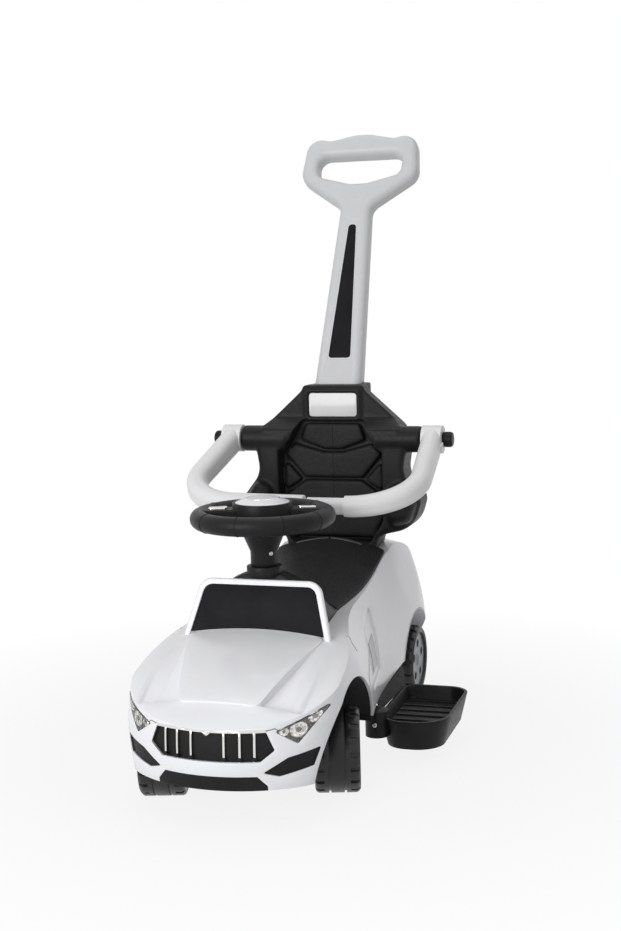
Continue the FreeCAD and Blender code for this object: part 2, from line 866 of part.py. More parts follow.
def wheel_profile():
    """Half section of a wheel: distance along the axle, then distance from it."""
    half = tyre_width / 2
    tread = tyre_radius
    shoulder = tyre_shoulder
    bend = shoulder * (1 - math.sqrt(2) / 2)
    bore = axle_radius + run_gap
    edges = [
        ((-half, rim_radius), (-half, tread - shoulder)),
        ((-half, tread - shoulder), (-half + bend, tread - bend), (-half + shoulder, tread)),
    ]
    here = (-half + shoulder, tread)
    for middle in (-groove_offset, groove_offset):
        for step in ((middle - groove_width / 2, tread), (middle - groove_width / 2, tread - groove_depth),
                     (middle + groove_width / 2, tread - groove_depth), (middle + groove_width / 2, tread)):
            edges.append((here, step))
            here = step
    edges.append((here, (half - shoulder, tread)))
    edges.append(((half - shoulder, tread), (half - bend, tread - bend), (half, tread - shoulder)))
    here = (half, tread - shoulder)
    for step in ((half, rim_radius), (hub_face, rim_radius), (hub_face, bore), (-half, bore),
                 (-half, hub_radius), (-web_half, hub_radius), (-web_half, rim_radius), (-half, rim_radius)):
        edges.append((here, step))
        here = step
    curves = []
    for run in edges:
        points = [Vector(x, 0, r) for x, r in run]
        curve = Part.Arc(*points) if len(points) > 2 else Part.LineSegment(*points)
        curves.append(curve.toShape())
    return Part.Wire(curves)


def wheel():
    """One wheel about the X axis, its outer side towards +X: tread blocks, web and hub."""
    solid = Part.Face(wheel_profile()).revolve(ORIGIN, X_AXIS, math.degrees(2 * math.pi))
    half = tyre_width / 2
    notches = []
    for index in range(notch_count):
        turn = math.degrees(2 * math.pi) * index / notch_count
        for x_from, x_to in ((-half - overrun, -half + notch_length), (half - notch_length, half + overrun)):
            notch = box(x_from, x_to, -notch_width / 2, notch_width / 2, tyre_radius - notch_depth,
                        tyre_radius + overrun)
            notches.append(notch.rotate(ORIGIN, X_AXIS, turn))
    return solid.cut(notches)


def hub_cap():
    """The grey cap in a wheel's outer side, with a ring of holes and a small dome."""
    outer = rim_radius - fit_gap
    back = hub_face
    front = tyre_width / 2 - cap_disc
    face = front - cap_disc
    ring_inner = outer - tyre_shoulder
    dome = front + cap_disc - fit_gap
    points = [
        (back, ring_inner), (back, outer), (front, outer), (front, cap_dome_radius),
        (dome, cap_dome_radius / 2), (dome, 0), (face, 0), (face, ring_inner),
    ]
    outline = Part.makePolygon([Vector(x, 0, r) for x, r in points + points[:1]])
    cap = Part.Face(outline).revolve(ORIGIN, X_AXIS, math.degrees(2 * math.pi))
    holes = []
    for index in range(cap_hole_count):
        turn = math.degrees(2 * math.pi) * index / cap_hole_count
        holes.append(rod_x(cap_hole_radius, 0, tyre_width, 0, cap_hole_ring).rotate(ORIGIN, X_AXIS, turn))
    return cap.cut(holes)


def axle_clip():
    """A push-on clip that keeps a wheel on its axle."""
    start = hub_face + rub_gap
    ring = rod_x(clip_radius, start, start + clip_length, 0, 0)
    return ring.cut(rod_x(axle_radius + run_gap, 0, tyre_width, 0, 0))


def at_wheel(shape, half_track, y, side, steer_deg):
    """Puts a piece made about the X axis at one wheel's place."""
    placed = shape.copy()
    placed.translate(Vector(half_track, y, axle_height))
    if side < 0:
        placed = mirrored(placed)
    placed.rotate(Vector(0, y, 0), Z_AXIS, steer_deg)
    return placed


def axle_rod(half_track, y, steer_deg):
    """A steel axle right across the car."""
    end = half_track + hub_face + rub_gap + clip_length
    rod = rod_x(axle_radius, -end, end, y, axle_height)
    rod.rotate(Vector(0, y, 0), Z_AXIS, steer_deg)
    return rod


# Steering gear

def steered(shape, y):
    """Turns a piece about its upright axis to the rest angle of the steering."""
    turned = shape.copy()
    turned.rotate(Vector(0, y, 0), Z_AXIS, rest_steer_deg)
    return turned


def link_pin(y, top):
    """A headed pin that hangs from a steering arm and carries the drag link."""
    head_top = link_bottom - rub_gap
    pin = rod_z(link_pin_radius, steer_arm, y, head_top - link_pin_head, top)
    head = rod_z(link_width / 2 - rub_gap, steer_arm, y, head_top - link_pin_head, head_top)
    return pin.fuse(head)


def front_axle_beam():
    """The beam that carries the front axle, with its king pin and link pin."""
    corners = rectangle(front_axle_y - beam_depth / 2, front_axle_y + beam_depth / 2, beam_bottom, beam_top)
    beam = prism(even_outline(corners, beam_corner, on_side(-beam_half)), X_AXIS * (2 * beam_half))
    pin = rod_z(king_pin_radius, 0, front_axle_y, axle_height, king_pin_top)
    beam = fused([beam, pin, link_pin(front_axle_y, axle_height)])
    bore = rod_x(axle_radius + run_gap, -beam_half - overrun, beam_half + overrun, front_axle_y, axle_height)
    return steered(beam.cut(bore), front_axle_y)


def king_pin_cap():
    """The cap that keeps the king pin in its boss."""
    cap = rod_z(king_cap_radius, 0, front_axle_y, king_cap_low, king_pin_top)
    return cap.cut(rod_z(king_pin_radius + run_gap, 0, front_axle_y, 0, deck_height))


def steering_column():
    """The steel column with its crank and link pin at the foot."""
    column = rod_z(column_radius, 0, column_y, crank_bottom, module_low - fit_gap)
    half = crank_half_width
    corners = rectangle(-half, steer_arm + half, column_y - half, column_y + half)
    crank = prism(even_outline(corners, half - rub_gap, on_floor(crank_bottom)), Z_AXIS * crank_height)
    return steered(fused([column, crank, link_pin(column_y, crank_top)]), column_y)


def drag_link():
    """The flat link between the column's crank and the axle beam."""
    turn = math.radians(rest_steer_deg)
    shift = Vector(steer_arm * math.cos(turn), steer_arm * math.sin(turn), 0)
    half = link_width / 2
    corners = rectangle(-half, half, front_axle_y - half, column_y + half)
    bar = prism(even_outline(corners, half - rub_gap, on_floor(link_bottom)), Z_AXIS * link_height)
    for y in (front_axle_y, column_y):
        bar = bar.cut(rod_z(link_pin_radius + run_gap, 0, y, 0, deck_height))
    bar.translate(shift)
    return bar


def column_bush():
    """The flanged bush that guides the column through the dash."""
    flange = rod_z(bush_flange_radius, 0, column_y, bush_low, bush_top)
    stem = rod_z(bush_stem_radius, 0, column_y, bush_low - bush_stem_length, bush_low)
    bore = rod_z(column_radius + run_gap, 0, column_y, 0, wheel_height)
    return fused([flange, stem]).cut(bore)


def column_sleeve():
    """The funnel-shaped sleeve under the steering wheel."""
    low = bush_top + rub_gap
    neck = wheel_bottom - sleeve_neck_share * (wheel_bottom - low)
    bore = column_radius + run_gap
    points = [
        (bore, low), (sleeve_neck_radius, low), (sleeve_neck_radius, neck),
        (sleeve_top_radius, wheel_bottom), (bore, wheel_bottom),
    ]
    outline = Part.makePolygon([Vector(r, column_y, z) for r, z in points + points[:1]])
    return Part.Face(outline).revolve(Vector(0, column_y, 0), Z_AXIS, math.degrees(2 * math.pi))


def spoke(turn_deg, width):
    """A flat spoke from the hub to the rim."""
    corners = rectangle(-width / 2, width / 2, spoke_top - spoke_thickness, spoke_top)
    bar = prism(even_outline(corners, spoke_corner, on_side(0)), X_AXIS * rim_ring_radius)
    bar.translate(Y_AXIS * column_y)
    bar.rotate(Vector(0, column_y, 0), Z_AXIS, turn_deg)
    return bar


def button_block(growth, low, high, side):
    """The upright block of a spoke button, grown all round."""
    corners = rectangle(button_inner - growth, button_inner + button_length + growth,
                        column_y - button_width / 2 - growth, column_y + button_width / 2 + growth)
    block = prism(even_outline(corners, button_corner, on_floor(low)), Z_AXIS * (high - low))
    return block if side > 0 else mirrored(block)


def steering_wheel():
    """Rim, hub and three spokes in one moulding, with seats for the horn and the buttons."""
    ring = Part.makeTorus(rim_ring_radius, rim_tube_radius, Vector(0, column_y, wheel_height), Z_AXIS)
    hub = rod_z(hub_body_radius, 0, column_y, wheel_bottom, wheel_top)
    right, back, left = (math.degrees(turn * math.pi / 2) for turn in range(3))
    body = fused([ring, hub, spoke(right, spoke_width), spoke(back, spoke_width), spoke(left, spoke_width)])
    button_floor = spoke_top + button_proud - button_height - button_travel - fit_gap
    cuts = [
        rod_z(horn_radius + fit_gap, 0, column_y, horn_floor, wheel_top + overrun),
        rod_z(module_radius + fit_gap, 0, column_y, module_low, horn_floor + overrun),
        rod_z(column_radius + run_gap, 0, column_y, 0, module_low),
    ]
    cuts += [button_block(fit_gap, button_floor, wheel_top + overrun, side) for side in (-1, 1)]
    return steered(body.cut(cuts), column_y)


def horn_button():
    """The round white dome in the middle of the steering wheel."""
    low = wheel_top - horn_seat
    base = rod_z(horn_radius, 0, column_y, low, wheel_top)
    ball = (horn_radius ** 2 + horn_dome ** 2) / (2 * horn_dome)
    dome = Part.makeSphere(ball, Vector(0, column_y, wheel_top + horn_dome - ball))
    dome = dome.common(rod_z(horn_radius, 0, column_y, wheel_top, wheel_top + 2 * horn_dome))
    return steered(fused([base, dome]), column_y)


def sound_module():
    """The flat sound unit under the horn."""
    return rod_z(module_radius, 0, column_y, module_low, horn_floor)


def spoke_button(side):
    """A bright push button let into a spoke."""
    top = spoke_top + button_proud
    return steered(button_block(0, top - button_height, top, side), column_y)


# Dash, seat and backrest

def arch_section(y, half, spring, top, low):
    """A cross section with upright sides and an arched top."""
    left, right = Vector(-half, y, spring), Vector(half, y, spring)
    low_left, low_right = Vector(-half, y, low), Vector(half, y, low)
    edges = [
        Part.LineSegment(low_left, low_right).toShape(),
        Part.LineSegment(low_right, right).toShape(),
        Part.Arc(right, Vector(0, y, top), left).toShape(),
        Part.LineSegment(left, low_left).toShape(),
    ]
    return Part.Wire(edges)


def dash_cover(outer, hood):
    """The black hump behind the windscreen, seated on the body."""
    low = dash_spring - dash_skirt
    sections = [
        arch_section(screen_y, dash_front_half, dash_spring, dash_front_top, low),
        arch_section(column_y, dash_half_width, dash_spring, dash_top, low),
        arch_section(dash_rear_y, dash_rear_half, dash_spring, dash_rear_top, low),
    ]
    hump = Part.makeLoft(sections, True, False)
    reach = body_half_width
    ahead = box(-reach, reach, -reach, reach, -screen_thickness - fit_gap, reach)
    ahead.Placement = screen_place()
    seat_ring = rod_z(bush_flange_radius + fit_gap, 0, column_y, bush_low, bush_top)
    stem = rod_z(bush_stem_radius + fit_gap, 0, column_y, 0, bush_top)
    return hump.cut(outer).cut([hood, ahead, seat_ring, stem])


def seat(outer):
    """The black saddle, crowned across and rising to the back, seated on the body."""
    rows = (
        (seat_front_y, seat_front_half, seat_front_spring, seat_front_top),
        (seat_front_y + seat_waist_share * seat_length, seat_waist_half, seat_waist_spring, seat_waist_top),
        (seat_rear_y, seat_rear_half, seat_rear_spring, seat_rear_top),
    )
    sections = [arch_section(y, half, spring, top, spring - seat_skirt) for y, half, spring, top in rows]
    return Part.makeLoft(sections, True, False).cut(outer)


def back_points(shares):
    """Backrest outline points out of their shares."""
    return scaled(shares, back_half_width, back_top - back_bottom, back_bottom)


def pad(shares, whole):
    """A raised pad on the backrest, given by its right half or by one side's corners."""
    points = back_points(shares)
    corners = both_halves(points) if whole else points
    face_y = back_front_y + recess_depth
    outline = even_outline(corners, pad_corner, on_front(face_y))
    block = prism(outline, Y_AXIS * -pad_height)
    front = [edge for edge in block.Edges if edge.BoundBox.YMax < face_y - pad_height / 2]
    return block.makeFillet(pad_round, front)


def hip(side):
    """The forward swell at one side of the backrest's foot."""
    points = back_points(hip_shares)
    middle_u = sum(u for u, v in points) / len(points)
    middle_v = sum(v for u, v in points) / len(points)
    wires = []
    steps = ((-back_edge, 1), (hip_reach * hip_tip_share, hip_middle_share), (hip_reach, hip_tip_share))
    for reach, share in steps:
        ring = [(middle_u + (u - middle_u) * share, middle_v + (v - middle_v) * share) for u, v in points]
        wires.append(even_outline(ring, hip_corner * share, on_front(back_front_y - reach)))
    swell = Part.makeLoft(wires, True, False)
    return swell if side > 0 else mirrored(swell)


def plate_place():
    """The plane of the plate on the backrest: local x across, y up, z to the front."""
    turn = Rotation(X_AXIS, math.degrees(math.pi / 2))
    return Placement(Vector(0, back_front_y + plate_setback, back_top - plate_drop - plate_height), turn)


def plate_block(border, low, high):
    """A rounded block on the plate's plane."""
    corners = rectangle(-plate_half_width - border, plate_half_width + border, -border, plate_height + border)
    block = prism(even_outline(corners, plate_corner, on_floor(low)), Z_AXIS * (high - low))
    block.Placement = plate_place()
    return block


def backrest_plate():
    """The bare pale plate in the frame at the top of the backrest."""
    return plate_block(-fit_gap, 0, plate_thickness)


def handle_place():
    """The leaning plane of the push handle: local x across, y up its length, z to the front."""
    turn = Rotation(X_AXIS, math.degrees(math.pi / 2) - handle_lean_deg)
    return Placement(Vector(0, handle_foot_y, back_top), turn)


def handle_tang(gap):
    """The tang of the handle in the backrest's socket, grown by a gap."""
    half = tang_half_width + gap
    thick = tang_thickness / 2 + gap
    tang = box(-half, half, -tang_length - gap, tang_thickness, -thick, thick)
    tang.Placement = handle_place()
    return tang


def brow():
    """The step above the recess that sets the top of the backrest back, as a cutter."""
    low, face_y = back_top - brow_drop, back_front_y + brow_depth
    profile = [
        (back_front_y - overrun, low), (back_front_y, low), (face_y, low + brow_slope),
        (face_y, back_top + overrun), (back_front_y - overrun, back_top + overrun),
    ]
    outline = Part.makePolygon([Vector(-back_half_width, y, z) for y, z in profile + profile[:1]])
    return prism(outline, X_AXIS * (2 * back_half_width))


def backrest(outer):
    """The moulded backrest: outline slab, recess with pads, hips, bosses, plate frame, handle housing."""
    right = back_points(back_outline_shares)
    radii = [share * back_half_width for share in back_radius_shares]
    outline = rounded_outline(both_halves(right), radii + radii[::-1], on_front(back_front_y))
    slab = prism(outline, Y_AXIS * back_thickness)
    rim = [edge for edge in slab.Edges if edge.BoundBox.YLength < fit_gap]
    slab = slab.makeFillet(back_edge, [edge for edge in rim if edge.BoundBox.ZMax < back_top - run_gap])
    hollow = both_halves(back_points(recess_shares))
    hollow = even_outline(hollow, recess_corner, on_front(back_front_y - overrun))
    slab = slab.cut([prism(hollow, Y_AXIS * (overrun + recess_depth)), brow()])
    pads = [pad(upper_pad_shares, True), pad(middle_pad_shares, True), pad(lower_pad_shares, True)]
    side = pad(side_pad_shares, False)
    boss = rod_x(boss_radius, -boss_end_x, boss_end_x, boss_axis_y, boss_axis_height)
    middle = back_half_width / 2
    boss = boss.cut(box(-middle, middle, back_front_y - boss_radius, back_rear_y, 0, back_top))
    profile = [
        (back_rear_y - housing_corner, back_top - housing_height - housing_depth),
        (back_rear_y + housing_depth, back_top - housing_height + housing_depth),
        (back_rear_y + housing_depth, back_top),
        (back_rear_y - housing_corner, back_top),
    ]
    housing = prism(Part.makePolygon([Vector(-housing_half_width, y, z) for y, z in profile + profile[:1]]),
                    X_AXIS * (2 * housing_half_width))
    frame = plate_block(plate_frame, -plate_frame_rise, plate_frame_rise)
    body = fused([slab, *pads, side, mirrored(side), hip(1), hip(-1), *boss.Solids, housing, frame])
    bore = rod_x(pivot_radius + run_gap, boss_end_x - pivot_depth, boss_end_x + overrun, boss_axis_y,
                 boss_axis_height)
    cuts = [plate_block(0, 0, overrun + plate_frame_rise), handle_tang(fit_gap), bore, mirrored(bore)]
    return body.cut(cuts).cut(outer)


# Push handle

def push_handle():
    """The handle: tapered shaft, flared D grip with its hand hole, tang below."""
    half = handle_thickness / 2
    base = handle_length - grip_height
    right = [(handle_foot_half, -handle_thickness)] + scaled(grip_shares, grip_half_width, grip_height, base)
    radii = [foot_radius, *grip_radii]
    outline = rounded_outline(both_halves(right), radii + radii[::-1], on_floor(-half))
    upright = both_halves(scaled(grip_hole_shares, grip_half_width, grip_height, base))
    radii = list(grip_hole_radii)
    opening = rounded_outline(upright, radii + radii[::-1], on_floor(-half))
    shaft = prism(outline, Z_AXIS * handle_thickness)
    shaft = shaft.makeFillet(handle_edge, [edge for edge in level_edges(shaft) if edge.BoundBox.YMax > 0])
    shaft = shaft.cut(prism(opening, Z_AXIS * handle_thickness))
    low, high = opening.BoundBox.YMin, opening.BoundBox.YMax
    reach = opening.BoundBox.XMax
    rims = [edge for edge in level_edges(shaft)
            if low <= edge.CenterOfMass.y <= high and abs(edge.CenterOfMass.x) <= reach]
    shaft = shaft.makeFillet(handle_edge, rims)
    shaft = shaft.cut(panel_block(half - panel_depth, half + overrun))
    shaft.Placement = handle_place()
    reach = handle_length
    shaft = shaft.cut(box(-reach, reach, -reach, reach + handle_foot_y, 0, back_top))
    return fused([shaft, handle_tang(0)])


def panel_block(low, high):
    """The tapered inset on the front of the shaft, in the handle's own plane."""
    corners = scaled(panel_shares, handle_foot_half, handle_length)
    return prism(even_outline(both_halves(corners), panel_corner, on_floor(low)), Z_AXIS * (high - low))


def handle_panel():
    """The dark inset on the front of the handle."""
    half = handle_thickness / 2
    panel = panel_block(half - panel_depth, half)
    panel.Placement = handle_place()
    return panel


# Guard

def guard_place():
    """The slanted plane of the guard: local x across, y forward and down, z through the arm."""
    slope_deg = math.degrees(math.atan2(bar_drop, bar_reach))
    turn = Rotation(X_AXIS, math.degrees(math.pi) + slope_deg)
    return Placement(Vector(0, boss_axis_y, boss_axis_height), turn)


def bar_section(point, along, thickness, height, corner):
    """A rounded section square to a level path."""
    across = along.cross(Z_AXIS)
    corners = rectangle(-thickness / 2, thickness / 2, -height / 2, height / 2)
    return even_outline(corners, corner, lambda u, v: point + across * u + Z_AXIS * v)


def rounded_bar(path, first_size, last_size):
    """A bar along a level path, its section changing from the first size to the last."""
    first, last = path.Edges[0], path.Edges[-1]
    sections = [
        bar_section(first.valueAt(first.FirstParameter), first.tangentAt(first.FirstParameter), *first_size),
        bar_section(last.valueAt(last.LastParameter), last.tangentAt(last.LastParameter), *last_size),
    ]
    return path.makePipeShell(sections, True, False)


def guard_arm(end_x, tongue):
    """One half of the guard, on the car's left, with its eye; its bar ends at end_x."""
    centre_x = arm_inner_x + arm_thickness / 2
    reach = math.hypot(bar_reach, bar_drop)
    corner = Vector(centre_x + arm_spread, reach, 0)
    start = Vector(centre_x, 0, 0)
    to_start = (start - corner).normalize()
    half_angle = to_start.getAngle(-X_AXIS) / 2
    setback = bend_radius / math.tan(half_angle)
    bisector = (to_start - X_AXIS).normalize()
    bend_start = corner + to_start * setback
    bend_middle = corner + bisector * (bend_radius / math.sin(half_angle) - bend_radius)
    bend_end = corner - X_AXIS * setback
    bar_end = Vector(end_x + (tongue_length if tongue else 0), reach, 0)
    path = Part.Wire([
        Part.LineSegment(start, bend_start).toShape(),
        Part.Arc(bend_start, bend_middle, bend_end).toShape(),
        Part.LineSegment(bend_end, bar_end).toShape(),
    ])
    head_size = (arm_thickness, arm_height, arm_corner)
    bar_size = (bar_thickness, bar_height, arm_corner)
    pieces = [rounded_bar(path, head_size, bar_size)]
    if tongue:
        size = (tongue_thickness, tongue_height, tongue_thickness / 2 - fit_gap)
        short = Part.Wire([Part.LineSegment(bar_end + X_AXIS * overrun, Vector(end_x, reach, 0)).toShape()])
        pieces.append(rounded_bar(short, size, size))
    tab = box(arm_outer_x - arm_corner, arm_outer_x + stop_tab_length / 2, arm_eye_radius,
              arm_eye_radius + stop_tab_height, -stop_tab_length / 2, stop_tab_length / 2)
    pieces.append(tab)
    eye = rod_x(arm_eye_radius, arm_inner_x, arm_outer_x, 0, 0)
    arm = fused(pieces + [eye])
    bore = rod_x(pivot_radius + run_gap, 0, arm_outer_x + overrun, 0, 0)
    inside = box(boss_end_x - overrun, arm_inner_x, -arm_eye_radius, arm_eye_radius, -arm_height, arm_height)
    knob_seat = rod_x(knob_radius + rub_gap, arm_outer_x, arm_outer_x + overrun, 0, 0)
    arm = arm.cut([bore, inside, knob_seat])
    arm.Placement = guard_place()
    return arm


def guard_knob():
    """The left pivot bolt of the guard, with its round knob outside the arm."""
    seat_x = arm_outer_x + rub_gap
    y, z = boss_axis_y, boss_axis_height
    shank = rod_x(pivot_radius, boss_end_x - pivot_depth, seat_x, y, z)
    head = rod_x(knob_radius, seat_x, seat_x + knob_length, y, z)
    rim = [edge for edge in head.Edges if edge.BoundBox.XMin > seat_x + knob_length / 2 and edge.Closed]
    return fused([shank, head.makeFillet(knob_corner, rim)])


# Footrests

def tray_outline(inset, z):
    """The footrest tray seen from above, drawn in by an inset."""
    corners = rectangle(tray_inner_x + inset, tray_inner_x + tray_width - inset,
                        tray_front_y + inset, tray_front_y + tray_length - inset)
    return rounded_outline(corners, [radius - inset for radius in tray_corners], on_floor(z))


def tray_draft_at(z):
    """How far the tray's wall is drawn in at a height."""
    return tray_draft * (tray_top - z) / tray_depth


def tray_hollow(low, high):
    """The room inside the tray's walls between two heights, as a cutter."""
    return Part.makeLoft([tray_outline(tray_draft_at(z) + tray_wall, z) for z in (low, high)], True, True)


def footrest():
    """The left footrest: drafted tray with a ribbed floor, boss and sliding runner."""
    low = tray_top - tray_depth
    floor = tray_top - tray_room_depth
    block = Part.makeLoft([tray_outline(tray_draft_at(z), z) for z in (low, tray_top)], True, True)
    room = tray_hollow(floor, tray_top + overrun)
    pieces = [block.cut([room, tray_hollow(low - overrun, floor - tray_floor)])]
    for index in range(tray_rib_count):
        y = tray_front_y + tray_length * (index + 1) / (tray_rib_count + 1)
        rib = box(tray_inner_x, tray_inner_x + tray_width, y - tray_rib_width / 2, y + tray_rib_width / 2,
                  floor - tray_floor / 2, floor + tray_rib_height)
        pieces.append(rib.common(block))
    boss_x = tray_inner_x
    pieces.append(box(boss_x - runner_length, boss_x, runner_y - runner_width / 2,
                      runner_y + runner_width / 2, runner_bottom, runner_top))
    boss = rod_z(runner_boss_radius, boss_x, runner_y, runner_top - runner_boss_drop, runner_top)
    return fused(pieces + [boss.cut(room)])


def main():
    """Builds every piece and writes it."""
    os.makedirs("parts", exist_ok=True)
    outer = hull(0)
    inner = hull(body_wall)
    hood = hood_panel()
    pieces = {
        "body_shell": body_shell(outer, inner, hood),
        "windscreen_panel": windscreen_panel(),
        "grille_insert": grille_insert(inner),
        "grille_bars": grille_bars(outer),
        "grille_strip": grille_strip(),
        "front_lip": front_lip(outer),
        "chassis_pan": chassis_pan(),
        "dash_cover": dash_cover(outer, hood),
        "seat": seat(outer),
        "backrest": backrest(outer),
        "backrest_plate": backrest_plate(),
        "push_handle": push_handle(),
        "handle_panel": handle_panel(),
        "guard_arm_left": guard_arm(seam_x + tongue_end_gap, True),
        "guard_arm_right": mirrored(guard_arm(-seam_x, False)),
        "steering_wheel": steering_wheel(),
        "steering_column": steering_column(),
        "column_sleeve": column_sleeve(),
        "column_bush": column_bush(),
        "horn_button": horn_button(),
        "sound_module": sound_module(),
        "spoke_button_left": spoke_button(1),
        "spoke_button_right": spoke_button(-1),
        "drag_link": drag_link(),
        "front_axle_beam": front_axle_beam(),
        "king_pin_cap": king_pin_cap(),
        "front_axle_rod": axle_rod(front_half_track, front_axle_y, rest_steer_deg),
        "rear_axle_rod": axle_rod(rear_half_track, rear_axle_y, 0),
    }
    paired = {
        "headlight_lens": headlight_lens(outer),
        "headlight_bowl": headlight_bowl(outer),
        "fog_intake": fog_intake(outer),
        "arch_liner": arch_liner(),
        "guard_knob": guard_knob(),
        "footrest": footrest(),
    }
    for name, shape in paired.items():
        pieces[name + "_left"] = shape
        pieces[name + "_right"] = mirrored(shape)
    turning = {"wheel": wheel(), "hub_cap": hub_cap(), "axle_clip": axle_clip()}
    corners = (
        ("front_left", front_half_track, front_axle_y, 1, rest_steer_deg),
        ("front_right", front_half_track, front_axle_y, -1, rest_steer_deg),
        ("rear_left", rear_half_track, rear_axle_y, 1, 0),
        ("rear_right", rear_half_track, rear_axle_y, -1, 0),
    )
    for corner, half_track, y, side, steer_deg in corners:
        for name, shape in turning.items():
            pieces[name + "_" + corner] = at_wheel(shape, half_track, y, side, steer_deg)
    for name, shape in pieces.items():
        shape.exportStep(os.path.join("parts", name + ".step"))


main()
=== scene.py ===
"""Looks of a child's ride-on car with a parent's push handle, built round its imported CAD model."""

import json
import logging
import math
from dataclasses import dataclass, replace
from enum import Enum
from typing import ClassVar, Optional, Sequence

import bmesh
import bpy
from mathutils import Matrix, Vector
from mathutils.bvhtree import BVHTree

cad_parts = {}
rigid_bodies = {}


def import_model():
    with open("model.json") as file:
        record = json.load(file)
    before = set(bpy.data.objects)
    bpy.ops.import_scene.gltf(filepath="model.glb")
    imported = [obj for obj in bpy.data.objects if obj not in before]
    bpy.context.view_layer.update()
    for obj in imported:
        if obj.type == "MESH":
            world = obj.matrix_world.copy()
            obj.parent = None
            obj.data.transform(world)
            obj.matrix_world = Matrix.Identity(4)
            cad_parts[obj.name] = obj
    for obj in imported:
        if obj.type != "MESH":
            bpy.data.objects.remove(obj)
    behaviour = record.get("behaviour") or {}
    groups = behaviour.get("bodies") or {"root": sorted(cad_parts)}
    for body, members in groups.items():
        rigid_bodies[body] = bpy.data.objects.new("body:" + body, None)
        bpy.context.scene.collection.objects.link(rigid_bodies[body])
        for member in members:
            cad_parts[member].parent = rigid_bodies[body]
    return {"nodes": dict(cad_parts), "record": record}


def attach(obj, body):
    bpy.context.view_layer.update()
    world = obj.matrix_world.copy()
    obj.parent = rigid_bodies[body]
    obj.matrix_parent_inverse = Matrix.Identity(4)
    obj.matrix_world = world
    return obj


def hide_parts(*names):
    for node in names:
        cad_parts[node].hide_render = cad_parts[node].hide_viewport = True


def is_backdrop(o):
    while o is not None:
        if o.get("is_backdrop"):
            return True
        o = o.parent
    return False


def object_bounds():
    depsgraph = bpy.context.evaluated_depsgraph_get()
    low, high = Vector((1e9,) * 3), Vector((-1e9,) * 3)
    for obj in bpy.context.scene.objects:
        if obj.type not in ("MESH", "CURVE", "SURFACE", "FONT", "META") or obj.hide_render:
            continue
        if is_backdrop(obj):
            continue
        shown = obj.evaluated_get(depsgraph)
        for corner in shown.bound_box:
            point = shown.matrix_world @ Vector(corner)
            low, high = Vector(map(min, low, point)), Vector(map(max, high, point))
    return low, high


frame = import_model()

log = logging.getLogger("push_car")

Pair = tuple[float, float]
Point = tuple[float, float, float]
Colour = tuple[float, float, float]
Line = tuple[Point, ...]
Place = Sequence[float]
Spot = tuple[Vector, Vector]
Socket = bpy.types.NodeSocket

MM = 0.001
MERGE = 1e-5
CREASE = math.radians(32.0)
SEED = 7
SIDES = ((1.0, "left"), (-1.0, "right"))
UP, DOWN = (0.0, 0.0, 1.0), (0.0, 0.0, -1.0)
REARWARD, FORWARD = (0.0, 1.0, 0.0), (0.0, -1.0, 0.0)
INWARD = (-1.0, 0.0, 0.0)
WHITE = (1.0, 1.0, 1.0, 1.0)


class Grain(Enum):
    """How a moulded or metal surface is textured."""

    POLISHED = "polished"
    SPARK = "spark"
    LEATHER = "leather"
    BRUSHED = "brushed"
    FACETED = "faceted"


class Graph:
    """A short way to write a node tree."""

    def __init__(self, tree: bpy.types.NodeTree) -> None:
        """Starts on an empty tree."""
        self.tree = tree
        self.tree.nodes.clear()

    def node(self, kind: str, inputs: Optional[dict] = None, **settings: object) -> bpy.types.Node:
        """Adds a node.

        Args:
            kind: Blender's type name of the node.
            inputs: Socket names or numbers, each with a value or an output socket to link.
            settings: Attributes of the node.

        Returns:
            The new node.
        """
        made = self.tree.nodes.new(kind)
        for key, value in settings.items():
            setattr(made, key, value)
        for key, value in (inputs or {}).items():
            if isinstance(value, Socket):
                self.tree.links.new(value, made.inputs[key])
            else:
                made.inputs[key].default_value = value
        return made


class Wiring(Graph):
    """The node tree of a material or of the world."""

    noise_roughness: float = 0.55

    def maths(self, operation: str, first: object, *others: object) -> Socket:
        """Joins numbers, one after the other.

        Args:
            operation: Blender's name of the sum.
            first: A number or a socket.
            others: More of them; none for a sum of one number.

        Returns:
            The result's socket.
        """
        for other in others or (0.0,):
            first = self.node("ShaderNodeMath", {0: first, 1: other}, operation=operation).outputs[0]
        return first

    def ranged(self, value: Socket, span: Pair, target: Pair = (0.0, 1.0)) -> Socket:
        """Maps a number from one span to another and returns the result's socket."""
        return self.node("ShaderNodeMapRange", dict(enumerate((value, *span, *target)))).outputs[0]

    def mixed(self, factor: object, first: object, second: object) -> Socket:
        """Mixes two colours and returns the result's socket."""
        return self.node("ShaderNodeMix", {0: factor, 6: first, 7: second}, data_type="RGBA").outputs[2]

    def noise(self, vector: Socket, size: float, detail: float) -> Socket:
        """Adds noise whose lumps are about a size across, in metres, and returns its socket."""
        return self.node("ShaderNodeTexNoise", {"Vector": vector, "Scale": 1.0 / size, "Detail": detail,
                                                "Roughness": self.noise_roughness}).outputs[0]

    def cells(self, vector: Socket, size: float, randomness: float, feature: str) -> Socket:
        """Adds cells about a size across, in metres, and returns the socket with their distance."""
        inputs = {"Vector": vector, "Scale": 1.0 / size, "Randomness": randomness}
        return self.node("ShaderNodeTexVoronoi", inputs, feature=feature).outputs["Distance"]

    def place(self) -> Socket:
        """The socket with a point's place on the car."""
        return self.node("ShaderNodeTexCoord").outputs["Object"]

    def backdrop(self) -> Socket:
        """Tells where the background is seen directly, in gloss or through glass.

        Returns:
            The socket that is 1 there and 0 for all other light.
        """
        rays = self.node("ShaderNodeLightPath").outputs
        kinds = ("Is Camera Ray", "Is Glossy Ray", "Is Transmission Ray")
        return self.maths("MAXIMUM", *(rays[kind] for kind in kinds))


